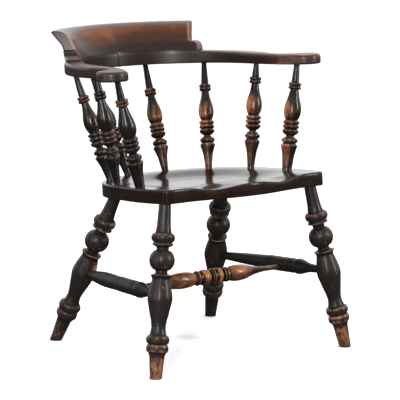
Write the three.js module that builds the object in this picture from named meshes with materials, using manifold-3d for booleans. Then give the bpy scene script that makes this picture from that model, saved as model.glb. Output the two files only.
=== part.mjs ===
// A captains chair of the smoker's bow kind, in turned and sawn hardwood.
// Millimetres, +Z up. The chair faces -Y, and left is -X, as seen from the front.
// Sizes are given in the plan frame, whose y is 0 midway between the front and the back feet.
// The finished chair is moved last, so that its origin is the middle of its footprint box, on the floor.
import * as THREE from 'three';
import { mergeVertices } from 'three/addons/utils/BufferGeometryUtils.js';
import Module from 'manifold-3d';

const wasm = await Module();
wasm.setup();

const degrees = Math.PI / 180;

// Fits
const glueGap = 0.3; // gap all round a tenon, and between faces that meet
const overcut = 20; // how far a cutter runs past the face that it opens
const farOut = 2000; // a cutter's size where it takes away everything on one side

// Stance
const seatHeight = 389.6; // underside of the seat above the floor, at plan y = 0
const seatTilt = 4.56 * degrees; // the seat falls to the back
const armTilt = 3.66 * degrees; // so do the arms, a little less
const frontFoot = { x: 291, y: -246.7 };
const backFoot = { x: 243.7, y: 246.7 };

// Seat, in its own plane: x and y along the plank, z up from its underside
const seat = {
  thickness: 34,
  offCentre: 9, // the plank sits a little to the right of the framing
  frontCornerY: -215, // the front edge beside its corners
  frontBow: 31, // how far the middle of the front edge bows out past them
  frontBowHalfWidth: 190,
  cornerRadius: 14,
  halfWidthFront: 246,
  halfWidth: 240, // at the start of the rounded back
  sideBow: 8, // how far the sides swell past a straight line between those two
  roundedFromY: -20,
  backDepth: 232, // from there to the middle of the back edge
  backFullness: 1.04, // 1 is an ellipse, more is squarer
  topRound: 5,
  bottomRound: 2,
  dishDepth: 13,
  thighDepth: 10, // the two dips that run out over the front edge
  thighCentre: 100,
  thighHalfWidth: 92,
  thighStartY: -60,
  pommelDepth: 2,
  rimShare: 0.86, // the rim stays flat outside this share of the way to the edge
  bottomShare: 0.45, // and the dish is full depth inside this one
};
const frontLegSocket = { x: 220.7, y: -189.8 };
const backLegSocket = { x: 164.3, y: 93.2 };
const legSocketDepth = 24;

// Leg turning, walked from the seat down: lengths along the leg, and diameters
const leg = {
  sides: 12,
  seatEnd: 28,
  seatEndStraight: 5,
  neckUpper: 40,
  neckMiddle: 32.5,
  neckLower: 21,
  neckEnd: 38,
  ring: 20,
  ringDiameter: 56.5,
  ringRoot: 39,
  flangeRise: 8,
  flange: 51,
  flangeFall: 5,
  waist: 30,
  waistLength: 8,
  ball: 47,
  ballDiameter: 60.2,
  ballRoot: 36,
  collarRise: 4,
  collar: 51.3,
  collarFall: 9,
  collarFoot: 42,
  vaseTop: 42,
  vaseDiameter: 59.3,
  vaseShoulder: 27,
  vaseShoulderDiameter: 52,
  vaseTaper: 42,
  vaseFoot: 34.5,
  flare: 23,
  flareEnd: 40,
  lowRing: 21,
  lowRingDiameter: 54.7,
  lowRingRoot: 43,
  footRing: 20,
  footRingDiameter: 52.4,
  ankle: 9,
  ankleDiameter: 36.5,
  footTaper: 51,
  foot: 28.8,
  past: 25, // turned past the floor, then cut off level
};

// Spindle turning, walked from the seat up
const spindle = {
  sides: 10,
  seatEnd: 16.4,
  seatEndStraight: 6,
  cupEdge: 37.8,
  taperBreak: 0.45, // share of the way up to the cup's edge where the taper bends
  taperBreakShare: 0.42, // and how much of the widening lies below that
  cupLip: 2,
  cupCove: 8,
  cupRoot: 22.5,
  discRing: 12,
  discDiameter: 36.2,
  neck: 4,
  neckDiameter: 16.2,
  bellCove: 7,
  bell: 11,
  bellDiameter: 37.8,
  bellRoot: 31,
  ring: 10,
  ringDiameter: 37.1,
  vaseFoot: 25,
  vaseSwell: 27,
  vaseDiameter: 38.9,
  vaseShoulder: 25,
  vaseShoulderDiameter: 27,
  vaseNeck: 28.5,
  vaseNeckDiameter: 18.9,
  bead: 8.5,
  beadDiameter: 30.3,
  beadRoot: 23,
  armStart: 15.4,
  armEnd: 12.4,
  armEndStraight: 6,
};
const armPost = {
  ...spindle,
  seatEnd: 24.5,
  cupEdge: 41.2,
  cupRoot: 25,
  discDiameter: 40,
  neckDiameter: 19,
  bellDiameter: 41.2,
  bellRoot: 34,
  ringDiameter: 40.6,
  vaseFoot: 28,
  vaseDiameter: 42.7,
  vaseShoulderDiameter: 31,
  vaseNeckDiameter: 21,
  beadDiameter: 32.3,
  armStart: 17.5,
  armEnd: 14.5,
};
const spindleSeatDepth = 20;
const spindleArmDepth = 18;
const sideHeadStub = 37.2; // plain end of the side spindle between its beads and the arm

// The arm posts stand in from the plank's sides and front corners, and meet the paddles
const postFoot = { fromSide: 15.5, fromFrontCorner: 118.3 };
const postHead = { fromPaddleX: 20, fromPaddleY: 8.6 };
const postCupHeight = 57;

// The others stand in from the plank's rounded back and meet the bow, each end at an angle round its curve
const sideSpindle = { seatAngle: 12.1 * degrees, inset: 30, cupHeight: 67, bowAngle: 89.3 * degrees };
const cornerSpindle = { seatAngle: 46 * degrees, inset: 24.1, cupHeight: 60, bowAngle: 54.4 * degrees };
const backSpindle = { seatAngle: 76 * degrees, inset: 16.8, cupHeight: 61.5, bowAngle: 20.4 * degrees };

// Arm bow, in its own plane: a half ellipse round the back, and a paddle at each front end
const bow = {
  halfWidth: 245, // of the line that the spindles meet
  backDepth: 280,
  widestY: 54,
  inner: 22, // from that line to the inner edge
  outer: 26, // and to the outer edge
  thicknessFront: 25.5, // at the paddles
  thicknessBack: 33.5, // under the middle of the crest
  topRound: 7,
  bottomRound: 3,
  paddleX: 294,
  paddleY: -79,
  paddleRadius: 38.5,
  paddleFrom: 200 * degrees, // round the paddle, where the inner edge runs into it
  paddleTo: 400 * degrees, // and where the outer edge leaves it
  neckX: 262, // hollow of the outer edge behind the paddle
  neckY: -18,
  innerNeckX: 236,
  innerNeckY: -40,
};

// Crest rail: a section that leans out over the bow, swept round the back
const crest = {
  front: [[0, 0], [22, 29], [34, 52], [60, 72.5]], // up the inside, from the arm to the rolled top
  tip: [75, 72.5],
  back: [[78, 69], [66, 54], [51, 34], [43, 0]], // down the outside, from the tip to the arm
  endAngle: 47.3 * degrees, // round the bow, where the full height ends, down at the arm
  endRake: 7 * degrees, // the ends lean in towards the top
  stepAngle: 52.4 * degrees, // and where the low step ends
  stepHeight: 24,
  stepRound: 8,
  setIn: 20, // from the spindle line in to the front of the base
};

// Side stretchers, from the back leg to the front one
const backLegDrop = 223.5; // down the back legs from the seat
const frontLegDrop = 218; // and down the front ones
const stretcher = {
  sides: 10,
  end: 19,
  endClear: 31, // plain end, from the axis of the leg
  tenonShort: 6, // wood left between the leg's axis and the end of the tenon
  backSwell: 35,
  backBow: { left: 9, right: 1.5 }, // how far the back run swells past a straight taper
  groove: 27,
  grooveWidth: 2.5,
  ring: 9, // between the two grooves at each end of the barrel
  barrel: 37,
  barrelLength: 62,
  barrelForward: 40, // the barrel's middle is nearer to the front leg
  frontRoot: 34,
  frontSwell: 39,
  frontSwellRun: 18,
  frontWaist: 23, // half way from there to the plain end
};

// Cross stretcher, from the left barrel to the right one
const cross = {
  sides: 10,
  drop: 5.5, // it enters the barrels below their middle
  end: 14,
  endClear: 21,
  tenonShort: 5,
  swell: 38.6,
  swellLength: 18,
  disc: 8.5,
  discDiameter: 34.5,
  discRoot: 24,
  ball: 31,
  ballDiameter: 39.5,
  ballRoot: 26,
  centreDisc: 8,
  centreDiameter: 41,
  offCentre: 15, // the pattern sits to the right of the middle
};

// Hidden fastenings
const screw = {
  sides: 8,
  head: 9,
  headHeight: 3.6,
  shank: 5,
  length: 52,
  point: 8,
  pointDiameter: 1,
  sunk: 1,
  bowAngles: [9 * degrees, 34 * degrees, 46 * degrees],
};
const dowel = { diameter: 9, reach: 24, spacing: 20, sides: 10 };

// A closed geometry as a solid for cutting
function solidOf(geometry) {
  const bare = geometry.clone();
  bare.deleteAttribute('normal');
  bare.deleteAttribute('uv');
  const merged = mergeVertices(bare, 1e-4);
  return new wasm.Manifold(new wasm.Mesh({
    numProp: 3,
    vertProperties: new Float32Array(merged.attributes.position.array),
    triVerts: new Uint32Array(merged.index.array),
  }));
}

function geometryOf(solid) {
  const mesh = solid.getMesh();
  const geometry = new THREE.BufferGeometry();
  geometry.setAttribute('position', new THREE.BufferAttribute(mesh.vertProperties, 3));
  geometry.setIndex(new THREE.BufferAttribute(mesh.triVerts, 1));
  const faceted = geometry.toNonIndexed();
  faceted.computeVertexNormals();
  return faceted;
}

// Cuts a placed mesh by other placed meshes: each cutter is brought into the mesh's own frame
function cut(mesh, cutters) {
  chair.updateMatrixWorld(true);
  const toLocal = mesh.matrixWorld.clone().invert();
  let solid = solidOf(mesh.geometry);
  for (const cutter of cutters) {
    cutter.updateMatrixWorld(true);
    const placed = cutter.geometry.clone().applyMatrix4(cutter.matrixWorld).applyMatrix4(toLocal);
    solid = solid.subtract(solidOf(placed));
  }
  mesh.geometry = geometryOf(solid);
}

// Rings of equal length joined into one closed body. Each outline is its end ring laid flat for the cap.
function loft(rings, startOutline, endOutline) {
  const count = rings[0].length;
  const positions = rings.flat().flatMap((point) => [point.x, point.y, point.z]);
  const faces = [];
  for (let ring = 0; ring < rings.length - 1; ring += 1) {
    for (let i = 0; i < count; i += 1) {
      const next = (i + 1) % count;
      const a = ring * count + i;
      const b = ring * count + next;
      faces.push(a, b, b + count, a, b + count, a + count);
    }
  }
  const last = (rings.length - 1) * count;
  for (const [a, b, c] of THREE.ShapeUtils.triangulateShape(startOutline, [])) {
    faces.push(a, c, b);
  }
  for (const [a, b, c] of THREE.ShapeUtils.triangulateShape(endOutline, [])) {
    faces.push(last + a, last + b, last + c);
  }
  const geometry = new THREE.BufferGeometry();
  geometry.setAttribute('position', new THREE.Float32BufferAttribute(positions, 3));
  geometry.setIndex(faces);
  const faceted = geometry.toNonIndexed();
  faceted.computeVertexNormals();
  return faceted;
}

// Moves each point of a closed outline inwards, square to the outline there
function inset(outline, distance) {
  const count = outline.length;
  return outline.map((point, i) => {
    const before = outline[(i + count - 1) % count];
    const after = outline[(i + 1) % count];
    const along = after.clone().sub(before).normalize();
    return new THREE.Vector2(point.x - along.y * distance, point.y + along.x * distance);
  });
}

// Outlines stacked at the heights that a function gives: one ring for each layer
function stack(layers) {
  return layers.map(({ outline, height }) => outline.map((point) => (
    new THREE.Vector3(point.x, point.y, height(point.x, point.y))
  )));
}

// Stands a mesh at a point, with its own +Y axis towards another point
function aim(mesh, from, towards) {
  mesh.position.copy(from);
  const axis = towards.clone().sub(from).normalize();
  mesh.quaternion.setFromUnitVectors(new THREE.Vector3(0, 1, 0), axis);
  return mesh;
}

// A turned outline, walked along the lathe's axis: each call adds one feature
class Turning {
  constructor(start) {
    this.height = start;
    this.points = [new THREE.Vector2(0, start)];
  }

  // Adds a point, unless the outline is there already
  add(radius, height) {
    const point = new THREE.Vector2(radius, height);
    if (point.distanceTo(this.points.at(-1)) > 1e-3) this.points.push(point);
  }

  at(diameter) {
    this.add(diameter / 2, this.height);
    return this;
  }

  taper(length, diameter) {
    this.height += length;
    return this.at(diameter);
  }

  // A smooth swelling through [length, diameter] stations, walked from where the outline is now
  swell(stations, samples) {
    const path = [this.points.at(-1).clone()];
    for (const [length, diameter] of stations) {
      this.height += length;
      path.push(new THREE.Vector2(diameter / 2, this.height));
    }
    for (const point of new THREE.SplineCurve(path).getPoints(samples)) this.add(point.x, point.y);
    return this;
  }

  // A ring that stands up from its root in a half ellipse
  bead(length, diameter, root, steps = 3) {
    for (let i = 0; i <= steps; i += 1) {
      const angle = (Math.PI * i) / steps;
      const radius = root / 2 + ((diameter - root) / 2) * Math.sin(angle);
      this.add(radius, this.height + (length * (1 - Math.cos(angle))) / 2);
    }
    this.height += length;
    return this;
  }

  // Closes on the axis, and gives the turned body
  turn(sides) {
    this.add(0, this.height);
    return new THREE.LatheGeometry(this.points, sides);
  }
}

// A round mortise for a tenon: from a height on the member's axis to another, one glue gap wider
function mortise(member, diameter, from, to) {
  const hole = new Turning(from).at(diameter + 2 * glueGap).taper(to - from, diameter + 2 * glueGap);
  const cutter = new THREE.Mesh(hole.turn(member.userData.sides));
  cutter.position.copy(member.position);
  cutter.quaternion.copy(member.quaternion);
  return cutter;
}

const smooth = (value, from, to) => THREE.MathUtils.smoothstep(value, from, to);

const chair = new THREE.Group();

function wood(color, roughness) {
  return new THREE.MeshStandardMaterial({ color, roughness, metalness: 0 });
}
const blackStain = wood(0x2a1f1b, 0.32);
const brownStain = wood(0x3a251c, 0.28);
const wornWood = wood(0x7a4526, 0.35);
const steel = new THREE.MeshStandardMaterial({ color: 0x8d8a84, roughness: 0.45, metalness: 1 });

function piece(name, geometry, material, parent = chair) {
  const mesh = new THREE.Mesh(geometry, material.clone());
  mesh.name = name;
  parent.add(mesh);
  return mesh;
}

// The two sloping planes that hold the seat and the arms
const seatPlane = new THREE.Group();
seatPlane.position.z = seatHeight;
seatPlane.rotation.x = -seatTilt;
chair.add(seatPlane);

const armPlane = new THREE.Group();
armPlane.rotation.x = -armTilt;
chair.add(armPlane);

function onSeat(x, y, height) {
  seatPlane.updateMatrixWorld(true);
  return seatPlane.localToWorld(new THREE.Vector3(x, y, height));
}

function onArms(x, y, height) {
  armPlane.updateMatrixWorld(true);
  return armPlane.localToWorld(new THREE.Vector3(x, y, height));
}

// A point of the plank's rounded back, or one set in from it. The angle is 0 at the right end of the curve.
function seatBackPoint(angle, inset = 0) {
  const power = 1 / seat.backFullness;
  const side = Math.sign(Math.cos(angle));
  const across = Math.abs(Math.cos(angle));
  const back = Math.sin(angle);
  const normal = new THREE.Vector2(
    (side * across ** (2 - power)) / seat.halfWidth,
    back ** (2 - power) / seat.backDepth,
  );
  return new THREE.Vector2(
    side * seat.halfWidth * across ** power,
    seat.roundedFromY + seat.backDepth * back ** power,
  ).sub(normal.normalize().multiplyScalar(inset));
}

// Seat outline, anticlockwise from the left end of the front edge
function seatOutline() {
  const points = [];
  const straight = seat.halfWidthFront - seat.cornerRadius;
  const frontSteps = 22;
  for (let i = 0; i <= frontSteps; i += 1) {
    const x = straight * ((2 * i) / frontSteps - 1);
    const share = Math.min(1, Math.abs(x) / seat.frontBowHalfWidth);
    const bowed = (seat.frontBow * (1 + Math.cos(Math.PI * share))) / 2;
    points.push(new THREE.Vector2(x, seat.frontCornerY - bowed));
  }
  const cornerSteps = 4;
  const cornerY = seat.frontCornerY + seat.cornerRadius;
  const rightCorner = [];
  for (let i = 1; i <= cornerSteps; i += 1) {
    const angle = (Math.PI / 2) * (i / cornerSteps - 1);
    rightCorner.push(new THREE.Vector2(
      straight + seat.cornerRadius * Math.cos(angle),
      cornerY + seat.cornerRadius * Math.sin(angle),
    ));
  }
  const sideSteps = 4;
  for (let i = 1; i < sideSteps; i += 1) {
    const share = i / sideSteps;
    const straightSide = THREE.MathUtils.lerp(seat.halfWidthFront, seat.halfWidth, share);
    rightCorner.push(new THREE.Vector2(
      straightSide + seat.sideBow * Math.sin(share * Math.PI),
      THREE.MathUtils.lerp(cornerY, seat.roundedFromY, share),
    ));
  }
  const backSteps = 24;
  const back = [];
  for (let i = 0; i <= backSteps; i += 1) {
    back.push(seatBackPoint((Math.PI * i) / backSteps));
  }
  const leftCorner = rightCorner.map((point) => new THREE.Vector2(-point.x, point.y)).reverse();
  return [...points, ...rightCorner, ...back, ...leftCorner];
}

// How far the saddled top lies below the flat of the rim. The rim share is 1 at the edge, 0 in the middle.
function dish(x, y, rimShare) {
  const bowl = seat.dishDepth * (1 - smooth(rimShare, seat.bottomShare, seat.rimShare));
  const fromThigh = Math.min(1, Math.abs(Math.abs(x) - seat.thighCentre) / seat.thighHalfWidth);
  const inside = Math.abs(x) < seat.thighCentre ? seat.pommelDepth : 0;
  const thigh = inside + ((seat.thighDepth - inside) * (1 + Math.cos(Math.PI * fromThigh))) / 2;
  const forward = smooth(-y, -seat.thighStartY, -seat.frontCornerY);
  return THREE.MathUtils.lerp(bowl, thigh, forward);
}

function seatGeometry() {
  const outline = seatOutline();
  const shares = [0.94, 0.86, 0.76, 0.64, 0.5, 0.3];
  const shrunk = (share) => outline.map((point) => point.clone().multiplyScalar(share));
  const top = (share) => (x, y) => seat.thickness - dish(x, y, share);
  const drop = 1 - Math.SQRT1_2;
  const layers = [
    { outline: inset(outline, seat.bottomRound), height: () => 0 },
    { outline, height: () => seat.bottomRound },
    { outline, height: (x, y) => top(1)(x, y) - seat.topRound },
    { outline: inset(outline, seat.topRound * drop), height: (x, y) => top(1)(x, y) - seat.topRound * drop },
    { outline: inset(outline, seat.topRound), height: top(1) },
    ...shares.map((share) => ({ outline: shrunk(share), height: top(share) })),
  ];
  return loft(stack(layers), outline, outline);
}

const seatMesh = piece('seat', seatGeometry(), brownStain, seatPlane);
seatMesh.position.x = seat.offCentre;

// Legs: turned alike, each set in the seat's underside and cut level at the floor
function legGeometry() {
  return new Turning(-legSocketDepth).at(leg.seatEnd)
    .taper(legSocketDepth + leg.seatEndStraight, leg.seatEnd)
    .swell([[leg.neckUpper, leg.neckMiddle], [leg.neckLower, leg.neckEnd]], 3)
    .bead(leg.ring, leg.ringDiameter, leg.ringRoot, 4)
    .taper(leg.flangeRise, leg.flange)
    .taper(leg.flangeFall, leg.waist)
    .taper(leg.waistLength, leg.waist)
    .bead(leg.ball, leg.ballDiameter, leg.ballRoot, 6)
    .at(leg.waist)
    .taper(leg.waistLength, leg.waist)
    .taper(leg.collarRise, leg.collar)
    .taper(leg.collarFall, leg.collarFoot)
    .swell([
      [leg.vaseTop, leg.vaseDiameter],
      [leg.vaseShoulder, leg.vaseShoulderDiameter],
      [leg.vaseTaper, leg.vaseFoot],
      [leg.flare, leg.flareEnd],
    ], 9)
    .bead(leg.lowRing, leg.lowRingDiameter, leg.lowRingRoot)
    .bead(leg.footRing, leg.footRingDiameter, leg.lowRingRoot)
    .taper(leg.ankle, leg.ankleDiameter)
    .taper(leg.footTaper, leg.foot)
    .taper(leg.past, leg.foot)
    .turn(leg.sides);
}

const floorCutter = new THREE.Mesh(new THREE.BoxGeometry(farOut, farOut, farOut));
floorCutter.position.z = -farOut / 2;

function makeLeg(name, socket, foot, side) {
  const top = onSeat(side * socket.x, socket.y, 0);
  const bottom = new THREE.Vector3(side * foot.x, foot.y, 0);
  const mesh = aim(piece(name, legGeometry(), blackStain), top, bottom);
  mesh.userData.sides = leg.sides;
  cut(seatMesh, [mortise(mesh, leg.seatEnd, -legSocketDepth - glueGap, overcut)]);
  cut(mesh, [floorCutter]);
  return mesh;
}

// A point on a leg's axis, a distance down from the seat
function downLeg(mesh, distance) {
  return new THREE.Vector3(0, distance, 0).applyQuaternion(mesh.quaternion).add(mesh.position);
}

// Two grooves with a narrow ring between them
function addCollar(turning) {
  turning.at(stretcher.groove)
    .taper(stretcher.grooveWidth, stretcher.groove)
    .at(stretcher.barrel)
    .taper(stretcher.ring, stretcher.barrel)
    .at(stretcher.groove)
    .taper(stretcher.grooveWidth, stretcher.groove);
}

// Side stretchers run from the back leg forward, each with a barrel between collars
function makeSideStretcher(name, backLeg, frontLeg, backBow) {
  const from = downLeg(backLeg, backLegDrop);
  const to = downLeg(frontLeg, frontLegDrop);
  const span = from.distanceTo(to);
  const barrelFrom = (span - stretcher.barrelLength) / 2 + stretcher.barrelForward;
  const barrelTo = barrelFrom + stretcher.barrelLength;
  const collar = stretcher.ring + 2 * stretcher.grooveWidth;
  const backRun = barrelFrom - collar - stretcher.endClear;
  const frontRun = span - barrelTo - collar - stretcher.frontSwellRun - stretcher.endClear;
  const backMiddle = (stretcher.end + stretcher.backSwell) / 2 + backBow;
  const turning = new Turning(stretcher.tenonShort).at(stretcher.end)
    .taper(stretcher.endClear - stretcher.tenonShort, stretcher.end)
    .swell([[backRun / 2, backMiddle], [backRun / 2, stretcher.backSwell]], 4);
  addCollar(turning);
  turning.at(stretcher.barrel).taper(stretcher.barrelLength, stretcher.barrel);
  addCollar(turning);
  turning.at(stretcher.frontRoot)
    .swell([
      [stretcher.frontSwellRun, stretcher.frontSwell],
      [frontRun / 2, stretcher.frontWaist],
      [frontRun / 2, stretcher.end],
    ], 6)
    .taper(stretcher.endClear - stretcher.tenonShort, stretcher.end);
  const mesh = aim(piece(name, turning.turn(stretcher.sides), blackStain), from, to);
  mesh.userData.sides = stretcher.sides;
  mesh.userData.barrelMiddle = (barrelFrom + barrelTo) / 2;
  cut(backLeg, [mortise(mesh, stretcher.end, stretcher.tenonShort - glueGap, stretcher.endClear + overcut)]);
  cut(frontLeg, [mortise(
    mesh,
    stretcher.end,
    span - stretcher.endClear - overcut,
    span - stretcher.tenonShort + glueGap,
  )]);
  return mesh;
}

function makeCrossStretcher(left, right) {
  const drop = new THREE.Vector3(0, 0, -cross.drop);
  const from = downLeg(left, left.userData.barrelMiddle).add(drop);
  const to = downLeg(right, right.userData.barrelMiddle).add(drop);
  const span = from.distanceTo(to);
  const half = cross.centreDisc / 2 + cross.ball + 2 * cross.disc;
  const leftRun = span / 2 + cross.offCentre - half - cross.swellLength - cross.endClear;
  const rightRun = span / 2 - cross.offCentre - half - cross.swellLength - cross.endClear;
  const turning = new Turning(cross.tenonShort).at(cross.end)
    .taper(cross.endClear - cross.tenonShort, cross.end)
    .swell([[leftRun, cross.swell], [cross.swellLength, cross.discRoot]], 6)
    .bead(cross.disc, cross.discDiameter, cross.discRoot)
    .bead(cross.disc, cross.discDiameter, cross.discRoot)
    .bead(cross.ball, cross.ballDiameter, cross.ballRoot, 4)
    .bead(cross.centreDisc, cross.centreDiameter, cross.ballRoot)
    .bead(cross.ball, cross.ballDiameter, cross.ballRoot, 4)
    .bead(cross.disc, cross.discDiameter, cross.discRoot)
    .bead(cross.disc, cross.discDiameter, cross.discRoot)
    .swell([[cross.swellLength, cross.swell], [rightRun, cross.end]], 6)
    .taper(cross.endClear - cross.tenonShort, cross.end);
  const mesh = aim(piece('cross_stretcher', turning.turn(cross.sides), wornWood), from, to);
  mesh.userData.sides = cross.sides;
  cut(left, [mortise(mesh, cross.end, cross.tenonShort - glueGap, cross.endClear + overcut)]);
  cut(right, [mortise(
    mesh,
    cross.end,
    span - cross.endClear - overcut,
    span - cross.tenonShort + glueGap,
  )]);
  return mesh;
}

const legs = {};
for (const [word, side] of [['left', -1], ['right', 1]]) {
  legs[word] = {
    front: makeLeg(`leg_front_${word}`, frontLegSocket, frontFoot, side),
    back: makeLeg(`leg_back_${word}`, backLegSocket, backFoot, side),
  };
}
const sideStretchers = ['left', 'right'].map((word) => (
  makeSideStretcher(`side_stretcher_${word}`, legs[word].back, legs[word].front, stretcher.backBow[word])
));
makeCrossStretcher(...sideStretchers);

// The line round the bow that the spindles meet, and the outward direction there. The angle is 0 at the back.
function bowPoint(angle, outward = 0) {
  const point = new THREE.Vector2(
    bow.halfWidth * Math.sin(angle),
    bow.widestY + bow.backDepth * Math.cos(angle),
  );
  const normal = new THREE.Vector2(Math.sin(angle) / bow.halfWidth, Math.cos(angle) / bow.backDepth);
  return point.add(normal.normalize().multiplyScalar(outward));
}

// Bow outline: right half first, from the back of the inner edge round the paddle, then its mirror image
function bowOutline() {
  const quarter = Math.PI / 2;
  const arcSteps = 12;
  const inner = [];
  const outer = [];
  for (let i = 0; i <= arcSteps; i += 1) {
    inner.push(bowPoint((quarter * i) / arcSteps, -bow.inner));
    outer.push(bowPoint(quarter * (1 - i / arcSteps), bow.outer));
  }
  const paddle = [];
  const paddleSteps = 10;
  for (let i = 0; i <= paddleSteps; i += 1) {
    const angle = THREE.MathUtils.lerp(bow.paddleFrom, bow.paddleTo, i / paddleSteps);
    paddle.push(new THREE.Vector2(
      bow.paddleX + bow.paddleRadius * Math.cos(angle),
      bow.paddleY + bow.paddleRadius * Math.sin(angle),
    ));
  }
  const innerNeck = new THREE.SplineCurve([
    inner.at(-1),
    new THREE.Vector2(bow.innerNeckX, bow.innerNeckY),
    paddle[0],
  ]).getPoints(5).slice(1, -1);
  const outerNeck = new THREE.SplineCurve([
    paddle.at(-1),
    new THREE.Vector2(bow.neckX, bow.neckY),
    outer[0],
  ]).getPoints(6).slice(1, -1);
  const right = [...inner.slice(1), ...innerNeck, ...paddle, ...outerNeck, ...outer.slice(0, -1)];
  const left = right.map((point) => new THREE.Vector2(-point.x, point.y)).reverse();
  return [inner[0], ...right, outer.at(-1), ...left];
}

// The bow's top lies a little closer to its underside at the paddles than at the back
function bowTop(y) {
  const share = (y - bow.paddleY) / (bow.widestY + bow.backDepth - bow.paddleY);
  return THREE.MathUtils.lerp(bow.thicknessFront, bow.thicknessBack, share);
}

function bowGeometry() {
  const outline = bowOutline();
  const drop = 1 - Math.SQRT1_2;
  const layers = [
    { outline: inset(outline, bow.bottomRound), height: () => 0 },
    { outline, height: () => bow.bottomRound },
    { outline, height: (x, y) => bowTop(y) - bow.topRound },
    { outline: inset(outline, bow.topRound * drop), height: (x, y) => bowTop(y) - bow.topRound * drop },
    { outline: inset(outline, bow.topRound), height: (x, y) => bowTop(y) },
  ];
  return loft(stack(layers), outline, outline);
}

// The arms' height follows from the side spindle: its cup, its turned middle and its plain end
function turnedMiddle(size) {
  return size.cupLip + size.cupCove + size.discRing + size.neck + size.bellCove + size.bell
    + 2 * size.ring + size.vaseSwell + size.vaseShoulder + size.vaseNeck + 2 * size.bead;
}
const sideLength = sideSpindle.cupHeight + turnedMiddle(spindle) + sideHeadStub;
const sideSpindleFoot = seatBackPoint(sideSpindle.seatAngle, sideSpindle.inset);
const sideFoot = onSeat(sideSpindleFoot.x, sideSpindleFoot.y, seat.thickness);
const sideHead = bowPoint(sideSpindle.bowAngle);
const run = Math.hypot(sideHead.x - sideFoot.x, sideHead.y * Math.cos(armTilt) - sideFoot.y);
const rise = Math.sqrt(sideLength ** 2 - run ** 2);
armPlane.position.z = sideFoot.z + rise + sideHead.y * Math.sin(armTilt);

const arms = ['left', 'right'].map((word) => piece(`arm_${word}`, bowGeometry(), brownStain, armPlane));
const halfSpace = new THREE.Mesh(new THREE.BoxGeometry(farOut, farOut, farOut));
for (const [i, side] of [[0, 1], [1, -1]]) {
  halfSpace.position.x = side * (farOut / 2 - glueGap / 2);
  cut(arms[i], [halfSpace]);
}

function spindleGeometry(size, cupHeight, length) {
  const stub = length - cupHeight - turnedMiddle(size);
  const cupTaper = cupHeight - size.seatEndStraight;
  const breakDiameter = THREE.MathUtils.lerp(size.seatEnd, size.cupEdge, size.taperBreakShare);
  return new Turning(-spindleSeatDepth).at(size.seatEnd)
    .taper(spindleSeatDepth + size.seatEndStraight, size.seatEnd)
    .swell([[cupTaper * size.taperBreak, breakDiameter], [cupTaper * (1 - size.taperBreak), size.cupEdge]], 3)
    .taper(size.cupLip, size.cupEdge)
    .taper(size.cupCove, size.cupRoot)
    .bead(size.discRing, size.discDiameter, size.cupRoot)
    .at(size.neckDiameter)
    .taper(size.neck, size.neckDiameter)
    .taper(size.bellCove, size.bellRoot)
    .bead(size.bell, size.bellDiameter, size.bellRoot)
    .bead(size.ring, size.ringDiameter, size.bellRoot)
    .bead(size.ring, size.ringDiameter, size.bellRoot)
    .at(size.vaseFoot)
    .swell([[size.vaseSwell, size.vaseDiameter], [size.vaseShoulder, size.vaseShoulderDiameter],
      [size.vaseNeck, size.vaseNeckDiameter]], 6)
    .bead(size.bead, size.beadDiameter, size.beadRoot, 2)
    .bead(size.bead, size.beadDiameter, size.beadRoot, 2)
    .at(size.armStart)
    .taper(stub - size.armEndStraight, size.armEnd)
    .taper(size.armEndStraight + spindleArmDepth, size.armEnd)
    .turn(size.sides);
}

// Each spindle of the right half: its turning, its foot on the plank and its head under the arm
const spindles = [{
  name: 'arm_post',
  size: armPost,
  cupHeight: postCupHeight,
  foot: new THREE.Vector2(seat.halfWidth - postFoot.fromSide, seat.frontCornerY + postFoot.fromFrontCorner),
  head: new THREE.Vector2(bow.paddleX - postHead.fromPaddleX, bow.paddleY + postHead.fromPaddleY),
}];
const fromTheBow = { spindle_side: sideSpindle, spindle_corner: cornerSpindle, spindle_back: backSpindle };
for (const [name, station] of Object.entries(fromTheBow)) {
  spindles.push({
    name,
    size: spindle,
    cupHeight: station.cupHeight,
    foot: seatBackPoint(station.seatAngle, station.inset),
    head: bowPoint(station.bowAngle),
  });
}
for (const [i, side] of [[0, -1], [1, 1]]) {
  const word = side < 0 ? 'left' : 'right';
  for (const { name, size, cupHeight, foot, head } of spindles) {
    const from = onSeat(side * foot.x, foot.y, seat.thickness);
    const to = onArms(side * head.x, head.y, 0);
    const length = from.distanceTo(to);
    const geometry = spindleGeometry(size, cupHeight, length);
    const mesh = aim(piece(`${name}_${word}`, geometry, blackStain), from, to);
    mesh.userData.sides = size.sides;
    cut(seatMesh, [mortise(mesh, size.seatEnd, -spindleSeatDepth - glueGap, overcut)]);
    cut(arms[i], [mortise(mesh, size.armEnd, length - overcut, length + spindleArmDepth + glueGap)]);
  }
}

// Crest section: x outwards from the front of the base, y up from the arm's top
const crestCurveSteps = 6;
function crestSection() {
  const curve = (points) => {
    const through = points.map(([x, y]) => new THREE.Vector2(x, y));
    return new THREE.SplineCurve(through).getPoints(crestCurveSteps);
  };
  return [...curve(crest.front), new THREE.Vector2(...crest.tip), ...curve(crest.back)].reverse();
}

// A section, which may change with the angle, swept round the bow between two angles.
// Its upper points are drawn in towards the middle, so that the ends are raked.
function crestGeometry(sectionAt, fromAngle, toAngle, steps) {
  const rings = [];
  for (let i = 0; i <= steps; i += 1) {
    const angle = THREE.MathUtils.lerp(fromAngle, toAngle, i / steps);
    rings.push(sectionAt(angle).map((point) => {
      const rake = (Math.tan(crest.endRake) * point.y) / (bow.backDepth * crest.endAngle);
      const plan = bowPoint(angle * (1 - rake), point.x - crest.setIn);
      return new THREE.Vector3(plan.x, plan.y, bowTop(plan.y) + glueGap + point.y);
    }));
  }
  return loft(rings, sectionAt(fromAngle), sectionAt(toAngle));
}

const crestSteps = 20;
const crestMesh = piece(
  'crest_rail',
  crestGeometry(crestSection, -crest.stepAngle, crest.stepAngle, crestSteps),
  brownStain,
  armPlane,
);

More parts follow.
